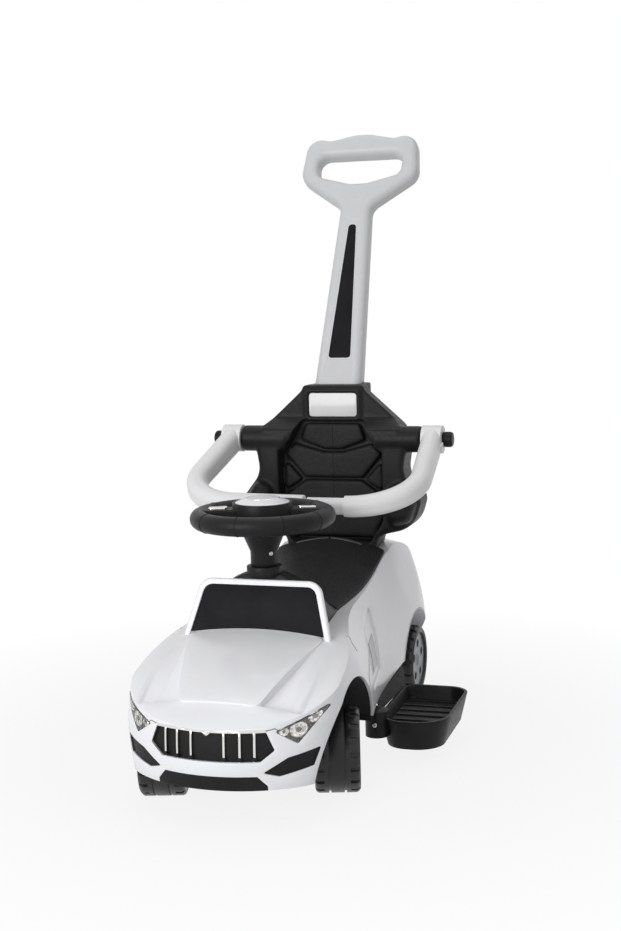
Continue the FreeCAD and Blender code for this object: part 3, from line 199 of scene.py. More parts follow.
@dataclass(frozen=True)
class Finish:
    """One procedural finish of the car, named after the record's slot.

    Colours are linear.  Sizes and depths are in metres.
    """

    MOTTLE_SPAN: ClassVar[Pair] = (0.35, 0.65)
    NOISE_SPAN: ClassVar[Pair] = (0.3, 0.7)
    FINE_SHARE: ClassVar[float] = 1.0 / 9.0
    EDGE_SPAN: ClassVar[Pair] = (0.97, 0.80)
    WEAR_PATCH: ClassVar[float] = 0.006
    WEAR_SPAN: ClassVar[Pair] = (0.45, 0.62)
    WEAR_RANGE: ClassVar[Pair] = (0.15, 1.0)
    DUST_SLOPE: ClassVar[Pair] = (0.25, 0.95)
    DUST_PATCH: ClassVar[float] = 0.035
    DUST_SPAN: ClassVar[Pair] = (0.40, 0.72)
    DUST_ROUGHNESS: ClassVar[float] = 0.5
    DUST_COLOUR: ClassVar[Colour] = (0.42, 0.41, 0.39)
    COAT_ROUGHNESS: ClassVar[float] = 0.08
    PLASTIC_IOR: ClassVar[float] = 1.49
    PEBBLE_SPAN: ClassVar[Pair] = (0.1, 0.75)
    PEBBLE_SHARE: ClassVar[float] = 0.25
    PEBBLE_FINE: ClassVar[float] = 0.35
    BRUSH_SCALE: ClassVar[Point] = (0.06, 1.0, 1.0)

    slot: str
    colour: Colour
    shade: Colour
    rough: Pair
    grain: Grain
    grain_size: float
    grain_depth: float
    mottle_size: float = 0.05
    metallic: float = 0.0
    coat: float = 0.0
    wear: Colour = (0.5, 0.5, 0.5)
    wear_amount: float = 0.0
    wear_width: float = 0.0012
    dust: float = 0.0
    transmission: float = 0.0
    specular: float = 0.5
    name: str = ""

    def label(self) -> str:
        """The material's name."""
        return (self.name or self.slot) + "_finish"

    def material(self) -> bpy.types.Material:
        """Makes the material once and finds it after that.

        Returns:
            The material.
        """
        found = bpy.data.materials.get(self.label())
        if found is None:
            found = bpy.data.materials.new(self.label())
            found.use_nodes = True
            self._wire(Wiring(found.node_tree))
        return found

    def _wire(self, wiring: Wiring) -> None:
        """Writes the node tree: mottled colour, wear on edges, settled dust, roughness and grain.

        Args:
            wiring: The material's tree.
        """
        place = wiring.place()
        normal = wiring.node("ShaderNodeNewGeometry").outputs["Normal"]
        mottle = wiring.ranged(wiring.noise(place, self.mottle_size, detail=4.0), self.MOTTLE_SPAN)
        colour = wiring.mixed(mottle, (*self.colour, 1.0), (*self.shade, 1.0))
        fine = wiring.noise(place, self.mottle_size * self.FINE_SHARE, detail=3.0)
        rough = wiring.ranged(fine, self.NOISE_SPAN, self.rough)
        if self.wear_amount > 0.0:
            rounded = wiring.node("ShaderNodeBevel", {"Radius": self.wear_width}, samples=4).outputs[0]
            along = wiring.node("ShaderNodeVectorMath", {0: rounded, 1: normal}, operation="DOT_PRODUCT")
            edge = wiring.ranged(along.outputs["Value"], self.EDGE_SPAN)
            patch = wiring.noise(place, self.WEAR_PATCH, detail=5.0)
            broken = wiring.ranged(patch, self.WEAR_SPAN, self.WEAR_RANGE)
            worn = wiring.maths("MULTIPLY", edge, broken, self.wear_amount)
            colour = wiring.mixed(worn, colour, (*self.wear, 1.0))
        if self.dust > 0.0:
            up = wiring.node("ShaderNodeSeparateXYZ", {0: normal}).outputs[2]
            level = wiring.ranged(up, self.DUST_SLOPE)
            patches = wiring.ranged(wiring.noise(place, self.DUST_PATCH, detail=6.0), self.DUST_SPAN)
            dusty = wiring.maths("MULTIPLY", level, patches, self.dust)
            colour = wiring.mixed(dusty, colour, (*self.DUST_COLOUR, 1.0))
            rough = wiring.maths("ADD", rough, wiring.maths("MULTIPLY", dusty, self.DUST_ROUGHNESS))
        shader = wiring.node("ShaderNodeBsdfPrincipled", {
            "Base Color": colour, "Roughness": rough, "Metallic": self.metallic, "Coat Weight": self.coat,
            "Coat Roughness": self.COAT_ROUGHNESS, "Transmission Weight": self.transmission,
            "IOR": self.PLASTIC_IOR, "Specular IOR Level": self.specular,
            "Normal": self._relief(wiring, self._height(wiring, place)),
        })
        wiring.node("ShaderNodeOutputMaterial", {"Surface": shader.outputs[0]})

    def _relief(self, wiring: Wiring, height: Socket) -> Socket:
        """Turns a grain's height into the surface's direction and returns its socket."""
        return wiring.node("ShaderNodeBump", {"Height": height, "Distance": self.grain_depth,
                                              "Strength": 1.0}).outputs[0]

    def _height(self, wiring: Wiring, place: Socket) -> Socket:
        """Adds the grain's own texture.

        Args:
            wiring: The material's tree.
            place: The socket with a point's place.

        Returns:
            The socket with the grain's height, from 0 to 1.
        """
        if self.grain is Grain.LEATHER:
            cells = wiring.cells(place, self.grain_size, randomness=0.9, feature="SMOOTH_F1")
            pebble = wiring.ranged(cells, self.PEBBLE_SPAN, (1.0, 0.0))
            fine = wiring.noise(place, self.grain_size * self.PEBBLE_SHARE, detail=2.0)
            return wiring.maths("ADD", pebble, wiring.maths("MULTIPLY", fine, self.PEBBLE_FINE))
        if self.grain is Grain.BRUSHED:
            drawn = wiring.node("ShaderNodeMapping", {"Vector": place, "Scale": self.BRUSH_SCALE})
            return wiring.noise(drawn.outputs[0], self.grain_size, detail=4.0)
        if self.grain is Grain.FACETED:
            return wiring.cells(place, self.grain_size, randomness=0.35, feature="F1")
        return wiring.noise(place, self.grain_size, detail=3.0 if self.grain is Grain.SPARK else 1.0)


WHITE_BODY = Finish("white_body", (0.865, 0.87, 0.895), (0.845, 0.85, 0.875), (0.20, 0.27), Grain.POLISHED,
                    0.020, 0.000012, 0.09, coat=0.10, wear=(0.62, 0.62, 0.63), wear_amount=0.06,
                    dust=0.008, specular=0.36)
WHITE_TRIM = Finish("white_trim", (0.83, 0.83, 0.84), (0.80, 0.80, 0.81), (0.34, 0.46), Grain.SPARK,
                    0.0012, 0.00004, 0.06, wear=(0.58, 0.58, 0.58), wear_amount=0.08, dust=0.012)
LIGHT_GREY = Finish("light_grey", (0.65, 0.655, 0.665), (0.628, 0.633, 0.643), (0.34, 0.48), Grain.SPARK,
                    0.0024, 0.00016, 0.018, wear=(0.74, 0.74, 0.75), wear_amount=0.10, dust=0.012)
PLATE_WHITE = Finish("plate_white", (0.74, 0.735, 0.735), (0.70, 0.695, 0.70), (0.16, 0.26), Grain.POLISHED,
                     0.012, 0.00001, 0.03, coat=0.3)
BLACK_PLASTIC = Finish("black_plastic", (0.009, 0.009, 0.010), (0.013, 0.013, 0.0143), (0.36, 0.50),
                       Grain.SPARK, 0.0014, 0.00006, 0.05, wear=(0.06, 0.06, 0.063), wear_amount=0.30,
                       dust=0.012, specular=0.16)
BLACK_GRAINED = Finish("black_plastic", (0.0135, 0.0135, 0.0148), (0.0195, 0.0195, 0.021), (0.50, 0.64),
                       Grain.LEATHER, 0.0024, 0.00024, 0.04, wear=(0.06, 0.06, 0.063), wear_amount=0.25,
                       dust=0.010, specular=0.17, name="black_moulded_grain")
BLACK_UNDER = Finish("black_under", (0.009, 0.009, 0.0098), (0.013, 0.013, 0.014), (0.55, 0.70), Grain.SPARK,
                     0.0018, 0.00010, 0.05, wear=(0.05, 0.05, 0.05), wear_amount=0.25, dust=0.03,
                     specular=0.12)
DARK_PANEL = Finish("dark_panel", (0.0115, 0.011, 0.013), (0.015, 0.0145, 0.0165), (0.44, 0.56), Grain.SPARK,
                    0.0010, 0.00005, 0.04, wear=(0.05, 0.05, 0.055), wear_amount=0.12, dust=0.006,
                    specular=0.06)
BRIGHT_TRIM = Finish("bright_trim", (0.78, 0.77, 0.74), (0.72, 0.71, 0.68), (0.10, 0.20), Grain.POLISHED,
                     0.004, 0.00003, 0.02, metallic=1.0)
CLEAR_COVER = Finish("clear_cover", (0.95, 0.95, 0.95), (0.93, 0.93, 0.93), (0.02, 0.06), Grain.POLISHED,
                     0.006, 0.00002, 0.03, transmission=1.0)
WHEEL_BLACK = Finish("wheel_black", (0.013, 0.013, 0.015), (0.018, 0.018, 0.020), (0.30, 0.44), Grain.SPARK,
                     0.0016, 0.00008, 0.04, wear=(0.07, 0.07, 0.07), wear_amount=0.35, dust=0.02,
                     specular=0.38)
HUB_GREY = Finish("hub_grey", (0.20, 0.205, 0.215), (0.165, 0.17, 0.18), (0.28, 0.40), Grain.SPARK,
                  0.0010, 0.00005, 0.03, metallic=0.35, wear=(0.55, 0.55, 0.56), wear_amount=0.2, dust=0.02)
STEEL = Finish("steel", (0.55, 0.55, 0.56), (0.47, 0.47, 0.48), (0.22, 0.36), Grain.BRUSHED,
               0.0012, 0.00004, 0.02, metallic=1.0)

BLACK_GLOSS = replace(BLACK_PLASTIC, rough=(0.18, 0.28), specular=0.4, name="black_gloss")
SEAM_GREY = replace(BLACK_UNDER, slot="white_body", colour=(0.20, 0.20, 0.205), shade=(0.14, 0.14, 0.145),
                    dust=0.0, name="seam_grey")
SEAM_BLACK = replace(BLACK_UNDER, slot="black_plastic", colour=(0.004, 0.004, 0.004), dust=0.0,
                     name="seam_black")
# Painted shade: a darker grey of the white body, laid in the side vents' recesses where the shell is in
# shade.
VENT_SHADE = replace(WHITE_BODY, colour=(0.36, 0.365, 0.37), shade=(0.30, 0.305, 0.31), dust=0.0,
                     name="vent_shade")


@dataclass(frozen=True)
class LampFinish(Finish):
    """A headlight's bowl: dark, with bright round reflectors in facets.

    Each lamp is its distance from the car's middle, its height and its radius, in metres.
    """

    RIM_SHARES: ClassVar[Pair] = (1.0, 0.86)
    BULB_SHARES: ClassVar[Pair] = (0.34, 0.28)
    BULB_RANGE: ClassVar[Pair] = (0.0, 0.8)
    FACET_SPAN: ClassVar[Pair] = (0.1, 0.7)
    FACET_RANGE: ClassVar[Pair] = (0.55, 1.0)
    SMEAR: ClassVar[float] = 0.003

    lamps: Line = ()

    def _wire(self, wiring: Wiring) -> None:
        """Writes the node tree: bright where a lamp is near, dark between the lamps.

        Args:
            wiring: The material's tree.
        """
        place = wiring.place()
        axes = wiring.node("ShaderNodeSeparateXYZ", {0: place}).outputs
        across = wiring.maths("ABSOLUTE", axes[0])
        bright: object = 0.0
        for middle, level, radius in self.lamps:
            aside, above = wiring.maths("SUBTRACT", across, middle), wiring.maths("SUBTRACT", axes[2], level)
            squares = [wiring.maths("MULTIPLY", side, side) for side in (aside, above)]
            away = wiring.maths("SQRT", wiring.maths("ADD", *squares))
            rim, bulb = (tuple(radius * share for share in shares)
                         for shares in (self.RIM_SHARES, self.BULB_SHARES))
            lit = wiring.maths("SUBTRACT", wiring.ranged(away, rim),
                               wiring.ranged(away, bulb, self.BULB_RANGE))
            bright = wiring.maths("MAXIMUM", bright, lit)
        height = self._height(wiring, place)
        shine = wiring.maths("MULTIPLY", bright, wiring.ranged(height, self.FACET_SPAN, self.FACET_RANGE))
        shader = wiring.node("ShaderNodeBsdfPrincipled", {
            "Base Color": wiring.mixed(shine, (*self.shade, 1.0), (*self.colour, 1.0)),
            "Roughness": wiring.ranged(wiring.noise(place, self.SMEAR, detail=3.0), self.NOISE_SPAN,
                                       self.rough),
            "Metallic": self.metallic, "Normal": self._relief(wiring, height),
        })
        wiring.node("ShaderNodeOutputMaterial", {"Surface": shader.outputs[0]})


BRIGHT_BOWL = LampFinish("bright_trim", (0.92, 0.91, 0.88), (0.085, 0.085, 0.080), (0.10, 0.22),
                         Grain.FACETED, 0.0042, 0.0012, metallic=0.85, name="bright_reflector",
                         lamps=((0.0885, 0.1255, 0.0055), (0.1035, 0.1265, 0.0095), (0.1195, 0.1385, 0.0075)))


def body_of(node: str) -> str:
    """Looks up the moving body of a CAD node.

    Args:
        node: The CAD node.

    Returns:
        The body's name.
    """
    for body, members in frame["record"]["behaviour"]["bodies"].items():
        if node in members:
            return body
    raise KeyError(node)


def joint_of(name: str) -> Spot:
    """Looks up a joint in the record.

    Args:
        name: The joint.

    Returns:
        Its place and its axis.
    """
    for joint in frame["record"]["behaviour"]["joints"]:
        if joint["name"] == name:
            return Vector(joint.get("pos_m", (0.0, 0.0, 0.0))), Vector(joint["axis"])
    raise KeyError(name)


def on_side(points: Sequence[Point], sign: float) -> list[Point]:
    """Points of the car's left side, or their mirror images where the sign is minus."""
    return [(x * sign, y, z) for x, y, z in points]


def placed(name: str, data: bpy.types.ID) -> bpy.types.Object:
    """Puts a new object into the scene.

    Args:
        name: Name of the object.
        data: Its mesh, lamp or camera.

    Returns:
        The new object.
    """
    made = bpy.data.objects.new(name, data)
    bpy.context.scene.collection.objects.link(made)
    return made


def mesh_of(name: str, shape: bmesh.types.BMesh) -> bpy.types.Mesh:
    """Turns a finished shape into a mesh.

    Args:
        name: Name of the mesh.
        shape: The shape, which is used up.

    Returns:
        The new mesh, without a material.
    """
    mesh = bpy.data.meshes.new(name)
    shape.to_mesh(mesh)
    shape.free()
    return mesh


def modify(piece: bpy.types.Object, kind: str, **settings: object) -> None:
    """Adds a modifier to an object.

    Args:
        piece: The object.
        kind: Blender's type name of the modifier.
        settings: Attributes of the modifier.
    """
    made = piece.modifiers.new(kind.lower(), kind)
    for key, value in settings.items():
        setattr(made, key, value)


def settled(piece: bpy.types.Object, name: str) -> bpy.types.Mesh:
    """Turns an object with live modifiers into a plain mesh and removes the object.

    Args:
        piece: The object to evaluate.
        name: Name of the new mesh.

    Returns:
        The evaluated mesh.
    """
    graph = bpy.context.evaluated_depsgraph_get()
    mesh = bpy.data.meshes.new_from_object(piece.evaluated_get(graph), depsgraph=graph)
    mesh.name = name
    old = piece.data
    bpy.data.objects.remove(piece)
    bpy.data.meshes.remove(old)
    return mesh


def add_piece(name: str, mesh: bpy.types.Mesh, body: str, finish: Finish,
              stands_for: Sequence[str] = ()) -> None:
    """Puts a finished mesh into the scene as a piece of the car.

    Args:
        name: Name of the piece.
        mesh: The mesh, already in its place.
        body: The moving body it rides on.
        finish: Its finish.
        stands_for: CAD nodes that it replaces.
    """
    piece = placed(name, mesh)
    if not mesh.materials:
        mesh.materials.append(finish.material())
    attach(piece, body)
    if stands_for:
        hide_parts(*stands_for)
    log.info("piece %s on %s: %d faces", name, body, len(mesh.polygons))


def welded(node: str) -> bmesh.types.BMesh:
    """Copies a CAD node's mesh and merges it by distance.

    Args:
        node: The CAD node.

    Returns:
        The copy, as a shape to work on.
    """
    shape = bmesh.new()
    shape.from_mesh(frame["nodes"][node].data)
    bmesh.ops.remove_doubles(shape, verts=shape.verts, dist=MERGE)
    return shape


def merged(node: str) -> bpy.types.Mesh:
    """Makes a smooth-shaded copy of a CAD node's mesh.

    Args:
        node: The CAD node.

    Returns:
        The copy, merged by distance and without a material.
    """
    shape = welded(node)
    bmesh.ops.dissolve_degenerate(shape, dist=MERGE, edges=shape.edges)
    bmesh.ops.recalc_face_normals(shape, faces=shape.faces)
    for face in shape.faces:
        face.smooth = True
    return mesh_of(node + "_merged", shape)


def dress(finish: Finish, rounding: float, *nodes: str) -> None:
    """Shows CAD nodes with rounded edges, smooth shading and a finish.

    Args:
        finish: The finish.
        rounding: Radius of the rounded edges in metres, 0 for none.
        nodes: The CAD nodes.
    """
    for node in nodes:
        mesh = merged(node)
        if rounding > 0.0:
            soft = placed("softening", mesh)
            modify(soft, "BEVEL", width=rounding, segments=2, limit_method="ANGLE", angle_limit=CREASE,
                   use_clamp_overlap=True)
            mesh = settled(soft, node + "_soft")
        mesh.set_sharp_from_angle(angle=CREASE)
        add_piece(node + "_shown", mesh, body_of(node), finish, [node])


class Weave(Graph):
    """A Geometry Nodes tree written here, with named inputs, that ends in plain meshes of one material."""

    def __init__(self, name: str) -> None:
        """Starts a tree with a mesh and a material as its inputs.

        Args:
            name: Name of the tree.
        """
        super().__init__(bpy.data.node_groups.new(name, "GeometryNodeTree"))
        self.tree.interface.new_socket("Geometry", in_out="OUTPUT", socket_type="NodeSocketGeometry")
        self.entry = self.node("NodeGroupInput")
        self.mesh = self.own("Geometry", "Geometry")
        self.material = self.own("Material", "Material")

    def own(self, name: str, kind: str) -> Socket:
        """Adds a named input to the tree and returns its socket."""
        self.tree.interface.new_socket(name, in_out="INPUT", socket_type="NodeSocket" + kind)
        return self.entry.outputs[name]

    def close(self, geometry: Socket, smooth: bool) -> None:
        """Realizes what was made, shades it and gives it the material.

        Args:
            geometry: What was made.
            smooth: Whether it is shaded as one round surface.
        """
        real = self.node("GeometryNodeRealizeInstances", {"Geometry": geometry}).outputs[0]
        shaded = self.node("GeometryNodeSetShadeSmooth", {"Geometry": real, "Shade Smooth": smooth})
        painted = self.node("GeometryNodeSetMaterial", {"Geometry": shaded.outputs[0],
                                                        "Material": self.material})
        self.node("NodeGroupOutput", {0: painted.outputs[0]})

    def grow(self, name: str, mesh: bpy.types.Mesh, body: str, finish: Finish, **values: object) -> None:
        """Runs the tree on a mesh and adds the result as one piece of the car.

        Args:
            name: Name of the piece.
            mesh: The points or lines that the tree starts from.
            body: The moving body that the piece rides on.
            finish: Its finish.
            values: The tree's other inputs, by name.
        """
        carrier = placed(name + "_carrier", mesh)
        modifier = carrier.modifiers.new("weave", "NODES")
        modifier.node_group = self.tree
        values["Material"] = finish.material()
        for item in self.tree.interface.items_tree:
            if item.in_out == "INPUT" and item.name in values:
                modifier[item.identifier] = values[item.name]
        add_piece(name, settled(carrier, name), body, finish)


class Bead(Weave):
    """A round bead along lines: seams, shut lines, rims, fins and rolls."""

    sides: int = 8

    def __init__(self) -> None:
        """Writes the tree."""
        super().__init__("bead")
        radius = self.own("Radius", "Float")
        line = self.node("GeometryNodeMeshToCurve", {"Mesh": self.mesh})
        ring = self.node("GeometryNodeCurvePrimitiveCircle", {"Resolution": self.sides, "Radius": radius})
        tube = self.node("GeometryNodeCurveToMesh", {
            "Curve": line.outputs[0], "Profile Curve": ring.outputs[0], "Fill Caps": True})
        self.close(tube.outputs[0], smooth=True)


class Studs(Weave):
    """Small things that stand on given points, each facing the way its point does: screws and feet."""

    def __init__(self) -> None:
        """Writes the tree."""
        super().__init__("studs")
        shape, size, spin = self.own("Shape", "Object"), self.own("Size", "Float"), self.own("Spin", "Float")
        facing = self.node("GeometryNodeInputNamedAttribute", {0: "facing"}, data_type="FLOAT_VECTOR")
        upright = self.node("FunctionNodeAlignRotationToVector", {"Vector": facing.outputs[0]}, axis="Z")
        turn = self.node("FunctionNodeRandomValue", {3: spin, "Seed": SEED}, data_type="FLOAT")
        about = self.node("FunctionNodeAxisAngleToRotation", {"Axis": UP, "Angle": turn.outputs[1]})
        turned = self.node("FunctionNodeRotateRotation", {0: upright.outputs[0], 1: about.outputs[0]},
                           rotation_space="LOCAL")
        thing = self.node("GeometryNodeObjectInfo", {"Object": shape})
        copies = self.node("GeometryNodeInstanceOnPoints", {
            "Points": self.mesh, "Instance": thing.outputs["Geometry"], "Rotation": turned.outputs[0],
            "Scale": size})
        self.close(copies.outputs[0], smooth=False)


class Ring(Weave):
    """One small shape repeated round an axis: flutes.

    The shape's own +X points away from the axis, and its +Z lies along it.
    """

    def __init__(self) -> None:
        """Writes the tree."""
        super().__init__("ring")
        shape, count = self.own("Shape", "Object"), self.own("Count", "Int")
        radius = self.own("Radius", "Float")
        place, turn = self.own("Place", "Vector"), self.own("Turn", "Vector")
        loop = self.node("GeometryNodeMeshCircle", {"Vertices": count, "Radius": radius})
        where = self.node("GeometryNodeInputPosition")
        outward = self.node("FunctionNodeAlignRotationToVector", {"Vector": where.outputs[0]}, axis="X")
        thing = self.node("GeometryNodeObjectInfo", {"Object": shape})
        copies = self.node("GeometryNodeInstanceOnPoints", {
            "Points": loop.outputs[0], "Instance": thing.outputs["Geometry"], "Rotation": outward.outputs[0]})
        moved = self.node("GeometryNodeTransform", {
            "Geometry": copies.outputs[0], "Translation": place, "Rotation": turn})
        self.close(moved.outputs[0], smooth=False)


def quilt(rows: Sequence[Sequence[Vector]], facing: Place, smooth: bool) -> bpy.types.Mesh:
    """Makes a sheet of four-sided faces through rows of points.

    Args:
        rows: Rows of points, side by side.
        facing: The direction that the faces are turned to.
        smooth: Whether the sheet is shaded as one round surface.

    Returns:
        The sheet's mesh, without a material.
    """
    shape = bmesh.new()
    grid = [[shape.verts.new(point) for point in row] for row in rows]
    for low, high in zip(grid, grid[1:]):
        for number in range(min(len(low), len(high)) - 1):
            shape.faces.new((low[number], low[number + 1], high[number + 1], high[number]))
    bmesh.ops.remove_doubles(shape, verts=shape.verts, dist=MERGE)
    bmesh.ops.dissolve_degenerate(shape, dist=MERGE, edges=shape.edges)
    for face in shape.faces:
        face.smooth = smooth
        face.normal_update()
        if face.normal.dot(Vector(facing)) < 0.0:
            face.normal_flip()
    return mesh_of("quilt", shape)


class Skin:
    """The surface of a CAD node, to lay things on."""

    run_up: float = 0.06
    flatness: float = 0.98

    def __init__(self, node: str) -> None:
        """Reads the node's mesh."""
        self.shape = welded(node)
        self.tree = BVHTree.FromBMesh(self.shape)

    def spots(self, points: Sequence[Place], along: Place) -> list[Spot]:
        """Throws points onto the surface.

        Args:
            points: Points near the surface, in metres.
            along: The direction of the throw.

        Returns:
            Each point met on the surface and the outward direction there.
        """
        throw = Vector(along).normalized()
        found = []
        for near in points:
            place, normal, _, _ = self.tree.ray_cast(Vector(near) - throw * self.run_up, throw)
            if place is not None:
                found.append((place, normal if normal.dot(throw) < 0.0 else -normal))
        return found

    def pairs(self, points: Sequence[Point], along: Point) -> list[Spot]:
        """Throws points of the left side and then their mirror images onto the surface."""
        return [spot for sign, _ in SIDES for spot in self.spots(on_side(points, sign), along)]

    def line(self, points: Sequence[Place], along: Place, lift: float = 0.0, steps: int = 8) -> list[Vector]:
        """Lays a line on the surface.

        Args:
            points: Corner points of the line, near the surface, in metres.
            along: The direction in which they are thrown onto the surface.
            lift: How far the line lies above the surface.
            steps: Points between two corners.

        Returns:
            Points on the surface.
        """
        near = [Vector(first).lerp(Vector(last), step / steps)
                for first, last in zip(points, points[1:]) for step in range(steps + 1)]
        return [place + normal * lift for place, normal in self.spots(near, along)]

    def sheet(self, rows: Sequence[Sequence[Place]], along: Place, lift: float) -> bpy.types.Mesh:
        """Lays a thin skin on the surface.

        Args:
            rows: Rows of equally many points near the surface, in metres.
            along: The direction in which they are thrown onto the surface.
            lift: How far the skin lies above the surface.

        Returns:
            The skin's mesh, without a material.
        """
        laid = [[place + normal * lift for place, normal in self.spots(row, along)] for row in rows]
        return quilt(laid, -Vector(along), smooth=True)

    def rim(self, facing: Point, lift: float) -> list[Vector]:
        """Follows the border of the faces that face a direction.

        Args:
            facing: The direction.
            lift: How far the line is lifted off the faces, in metres.

        Returns:
            Points of one closed line.
        """
        ahead = Vector(facing).normalized()
        chosen = {face for face in self.shape.faces if face.normal.dot(ahead) > self.flatness}
        border = [edge for edge in self.shape.edges if len(chosen.intersection(edge.link_faces)) == 1]
        steps: dict = {}
        for edge in border:
            for one, other in (edge.verts, reversed(edge.verts)):
                steps.setdefault(one, []).append(other)
        here = border[0].verts[0]
        loop, before = [here], None
        while True:
            following = [vert for vert in steps[here] if vert is not before]
            before, here = here, following[0]
            if here is loop[0]:
                break
            loop.append(here)
        return [vert.co + ahead * lift for vert in loop]


def line_mesh(lines: Sequence[Sequence[Vector]], closed: bool = False) -> bpy.types.Mesh:
    """Makes a mesh of plain lines.

    Args:
        lines: The points of each line.
        closed: Whether each line runs back to its start.

    Returns:
        The new mesh.
    """
    points, edges = [], []
    for line in lines:
        first = len(points)
        points += [tuple(point) for point in line]
        edges += [(first + number, first + number + 1) for number in range(len(line) - 1)]
        if closed:
            edges.append((first + len(line) - 1, first))
    mesh = bpy.data.meshes.new("lines")
    mesh.from_pydata(points, edges, [])
    return mesh


def point_mesh(places: Sequence[Spot]) -> bpy.types.Mesh:
    """Makes a mesh of loose points.

    Args:
        places: Each point and the direction it faces.

    Returns:
        The new mesh.
    """
    mesh = bpy.data.meshes.new("points")
    mesh.from_pydata([tuple(place) for place, _ in places], [], [])
    facing = mesh.attributes.new("facing", "FLOAT_VECTOR", "POINT")
    for number, (_, normal) in enumerate(places):
        facing.data[number].vector = normal
    return mesh


def circle(middle: Vector, first: Vector, second: Vector, count: int) -> list[Vector]:
    """Points round an ellipse given by its two half axes."""
    turns = [2.0 * math.pi * number / count for number in range(count)]
    return [middle + first * math.cos(turn) + second * math.sin(turn) for turn in turns]


def eased(points: Sequence[Point], steps: int) -> list[Vector]:
    """Draws a smooth line through points.

    Args:
        points: The points it passes through, in metres.
        steps: Points between two of them.

    Returns:
        The line's points.
    """
    knots = [Vector(point) for point in points]
    knots = [knots[0] * 2.0 - knots[1], *knots, knots[-1] * 2.0 - knots[-2]]
    line = [knots[1]]
    for before, first, last, after in zip(knots, knots[1:], knots[2:], knots[3:]):
        leave, arrive = (last - before) / 2.0, (after - first) / 2.0
        for step in range(1, steps + 1):
            t = step / steps
            bend = leave * (t * (1.0 - t) ** 2) - arrive * (t * t * (1.0 - t))
            line.append(first.lerp(last, t * t * (3.0 - 2.0 * t)) + bend)
    return line


def shape_object(name: str, shape: bmesh.types.BMesh) -> bpy.types.Object:
    """A small shape for a tree to repeat; it isn't in the scene."""
    bmesh.ops.recalc_face_normals(shape, faces=shape.faces)
    return bpy.data.objects.new(name, mesh_of(name, shape))


def block(name: str, size: Point, rounding: float) -> bpy.types.Object:
    """Makes a block with rounded edges about its own middle.

    Args:
        name: Name of the block.
        size: Its lengths along X, Y and Z, in metres.
        rounding: Radius of its edges.

    Returns:
        The block, for a tree to repeat.
    """
    shape = bmesh.new()
    bmesh.ops.create_cube(shape, size=1.0, matrix=Matrix.Diagonal((*size, 1.0)))
    bmesh.ops.bevel(shape, geom=shape.edges[:], offset=rounding, segments=2, profile=0.5, affect="EDGES")
    return shape_object(name, shape)


def screw() -> bpy.types.Object:
    """Makes a pan-head screw with a sunk cross.

    Returns:
        The screw with a head of 1 metre radius, to be scaled where it is used.
    """
    arm, half, top, deep = 0.58, 0.14, 0.47, 0.30
    dome = ((1.0, -0.15), (1.0, 0.22), (0.93, 0.36), (0.78, 0.44))
    cross = [(half, half), (half, arm), (-half, arm), (-half, half), (-arm, half), (-arm, -half),
             (-half, -half), (-half, -arm), (half, -arm), (half, -half), (arm, -half), (arm, half)]
    turns = [math.atan2(y, x) for x, y in cross]
    shape = bmesh.new()
    rings = [[shape.verts.new((radius * math.cos(turn), radius * math.sin(turn), height)) for turn in turns]
             for radius, height in dome]
    rings += [[shape.verts.new((x, y, depth)) for x, y in cross] for depth in (top, top - deep)]
    for low, high in zip(rings, rings[1:]):
        for number in range(len(cross)):
            after = (number + 1) % len(cross)
            shape.faces.new((low[number], low[after], high[after], high[number]))
    shape.faces.new(rings[-1])
    return shape_object("screw", shape)


class Workshop:
    """The trees and small shapes that all assemblies use, made once."""

    screw_spin: float = 1.5

    def __init__(self) -> None:
        """Makes them."""
        self.bead, self.studs, self.ring = Bead(), Studs(), Ring()
        self.screw = screw()

    def beads(self, name: str, lines: Sequence[Sequence[Vector]], body: str, finish: Finish, radius: float,
              closed: bool = False) -> None:
        """Lays beads along lines as one piece of a body."""
        self.bead.grow(name, line_mesh(lines, closed), body, finish, Radius=radius)

    def stand(self, name: str, shape: bpy.types.Object, places: Sequence[Spot], body: str, finish: Finish,
              size: float = 1.0, spin: float = 0.0) -> None:
        """Stands copies of a shape on points as one piece of a body."""
        self.studs.grow(name, point_mesh(places), body, finish, Shape=shape, Size=size, Spin=spin)

    def screws(self, name: str, places: Sequence[Spot], body: str, radius: float) -> None:
        """Drives cross-head screws into points as one piece of a body."""
        self.stand(name, self.screw, places, body, STEEL, radius, self.screw_spin)

    def round(self, name: str, shape: bpy.types.Object, count: int, radius: float, about: Spot, body: str,
              finish: Finish) -> None:
        """Repeats a shape round an axis, given by its place and direction, as one piece of a body."""
        place, turn = about[0], about[1].to_track_quat("Z", "Y").to_euler()
        self.ring.grow(name, line_mesh([]), body, finish, Shape=shape, Count=count, Radius=radius,
                       Place=tuple(place), Turn=tuple(turn))

    def sweep(self) -> None:
        """Takes away the small shapes once nothing needs them."""
        for left in [item for item in bpy.data.objects if not item.users_scene]:
            bpy.data.objects.remove(left)


SHOP = Workshop()


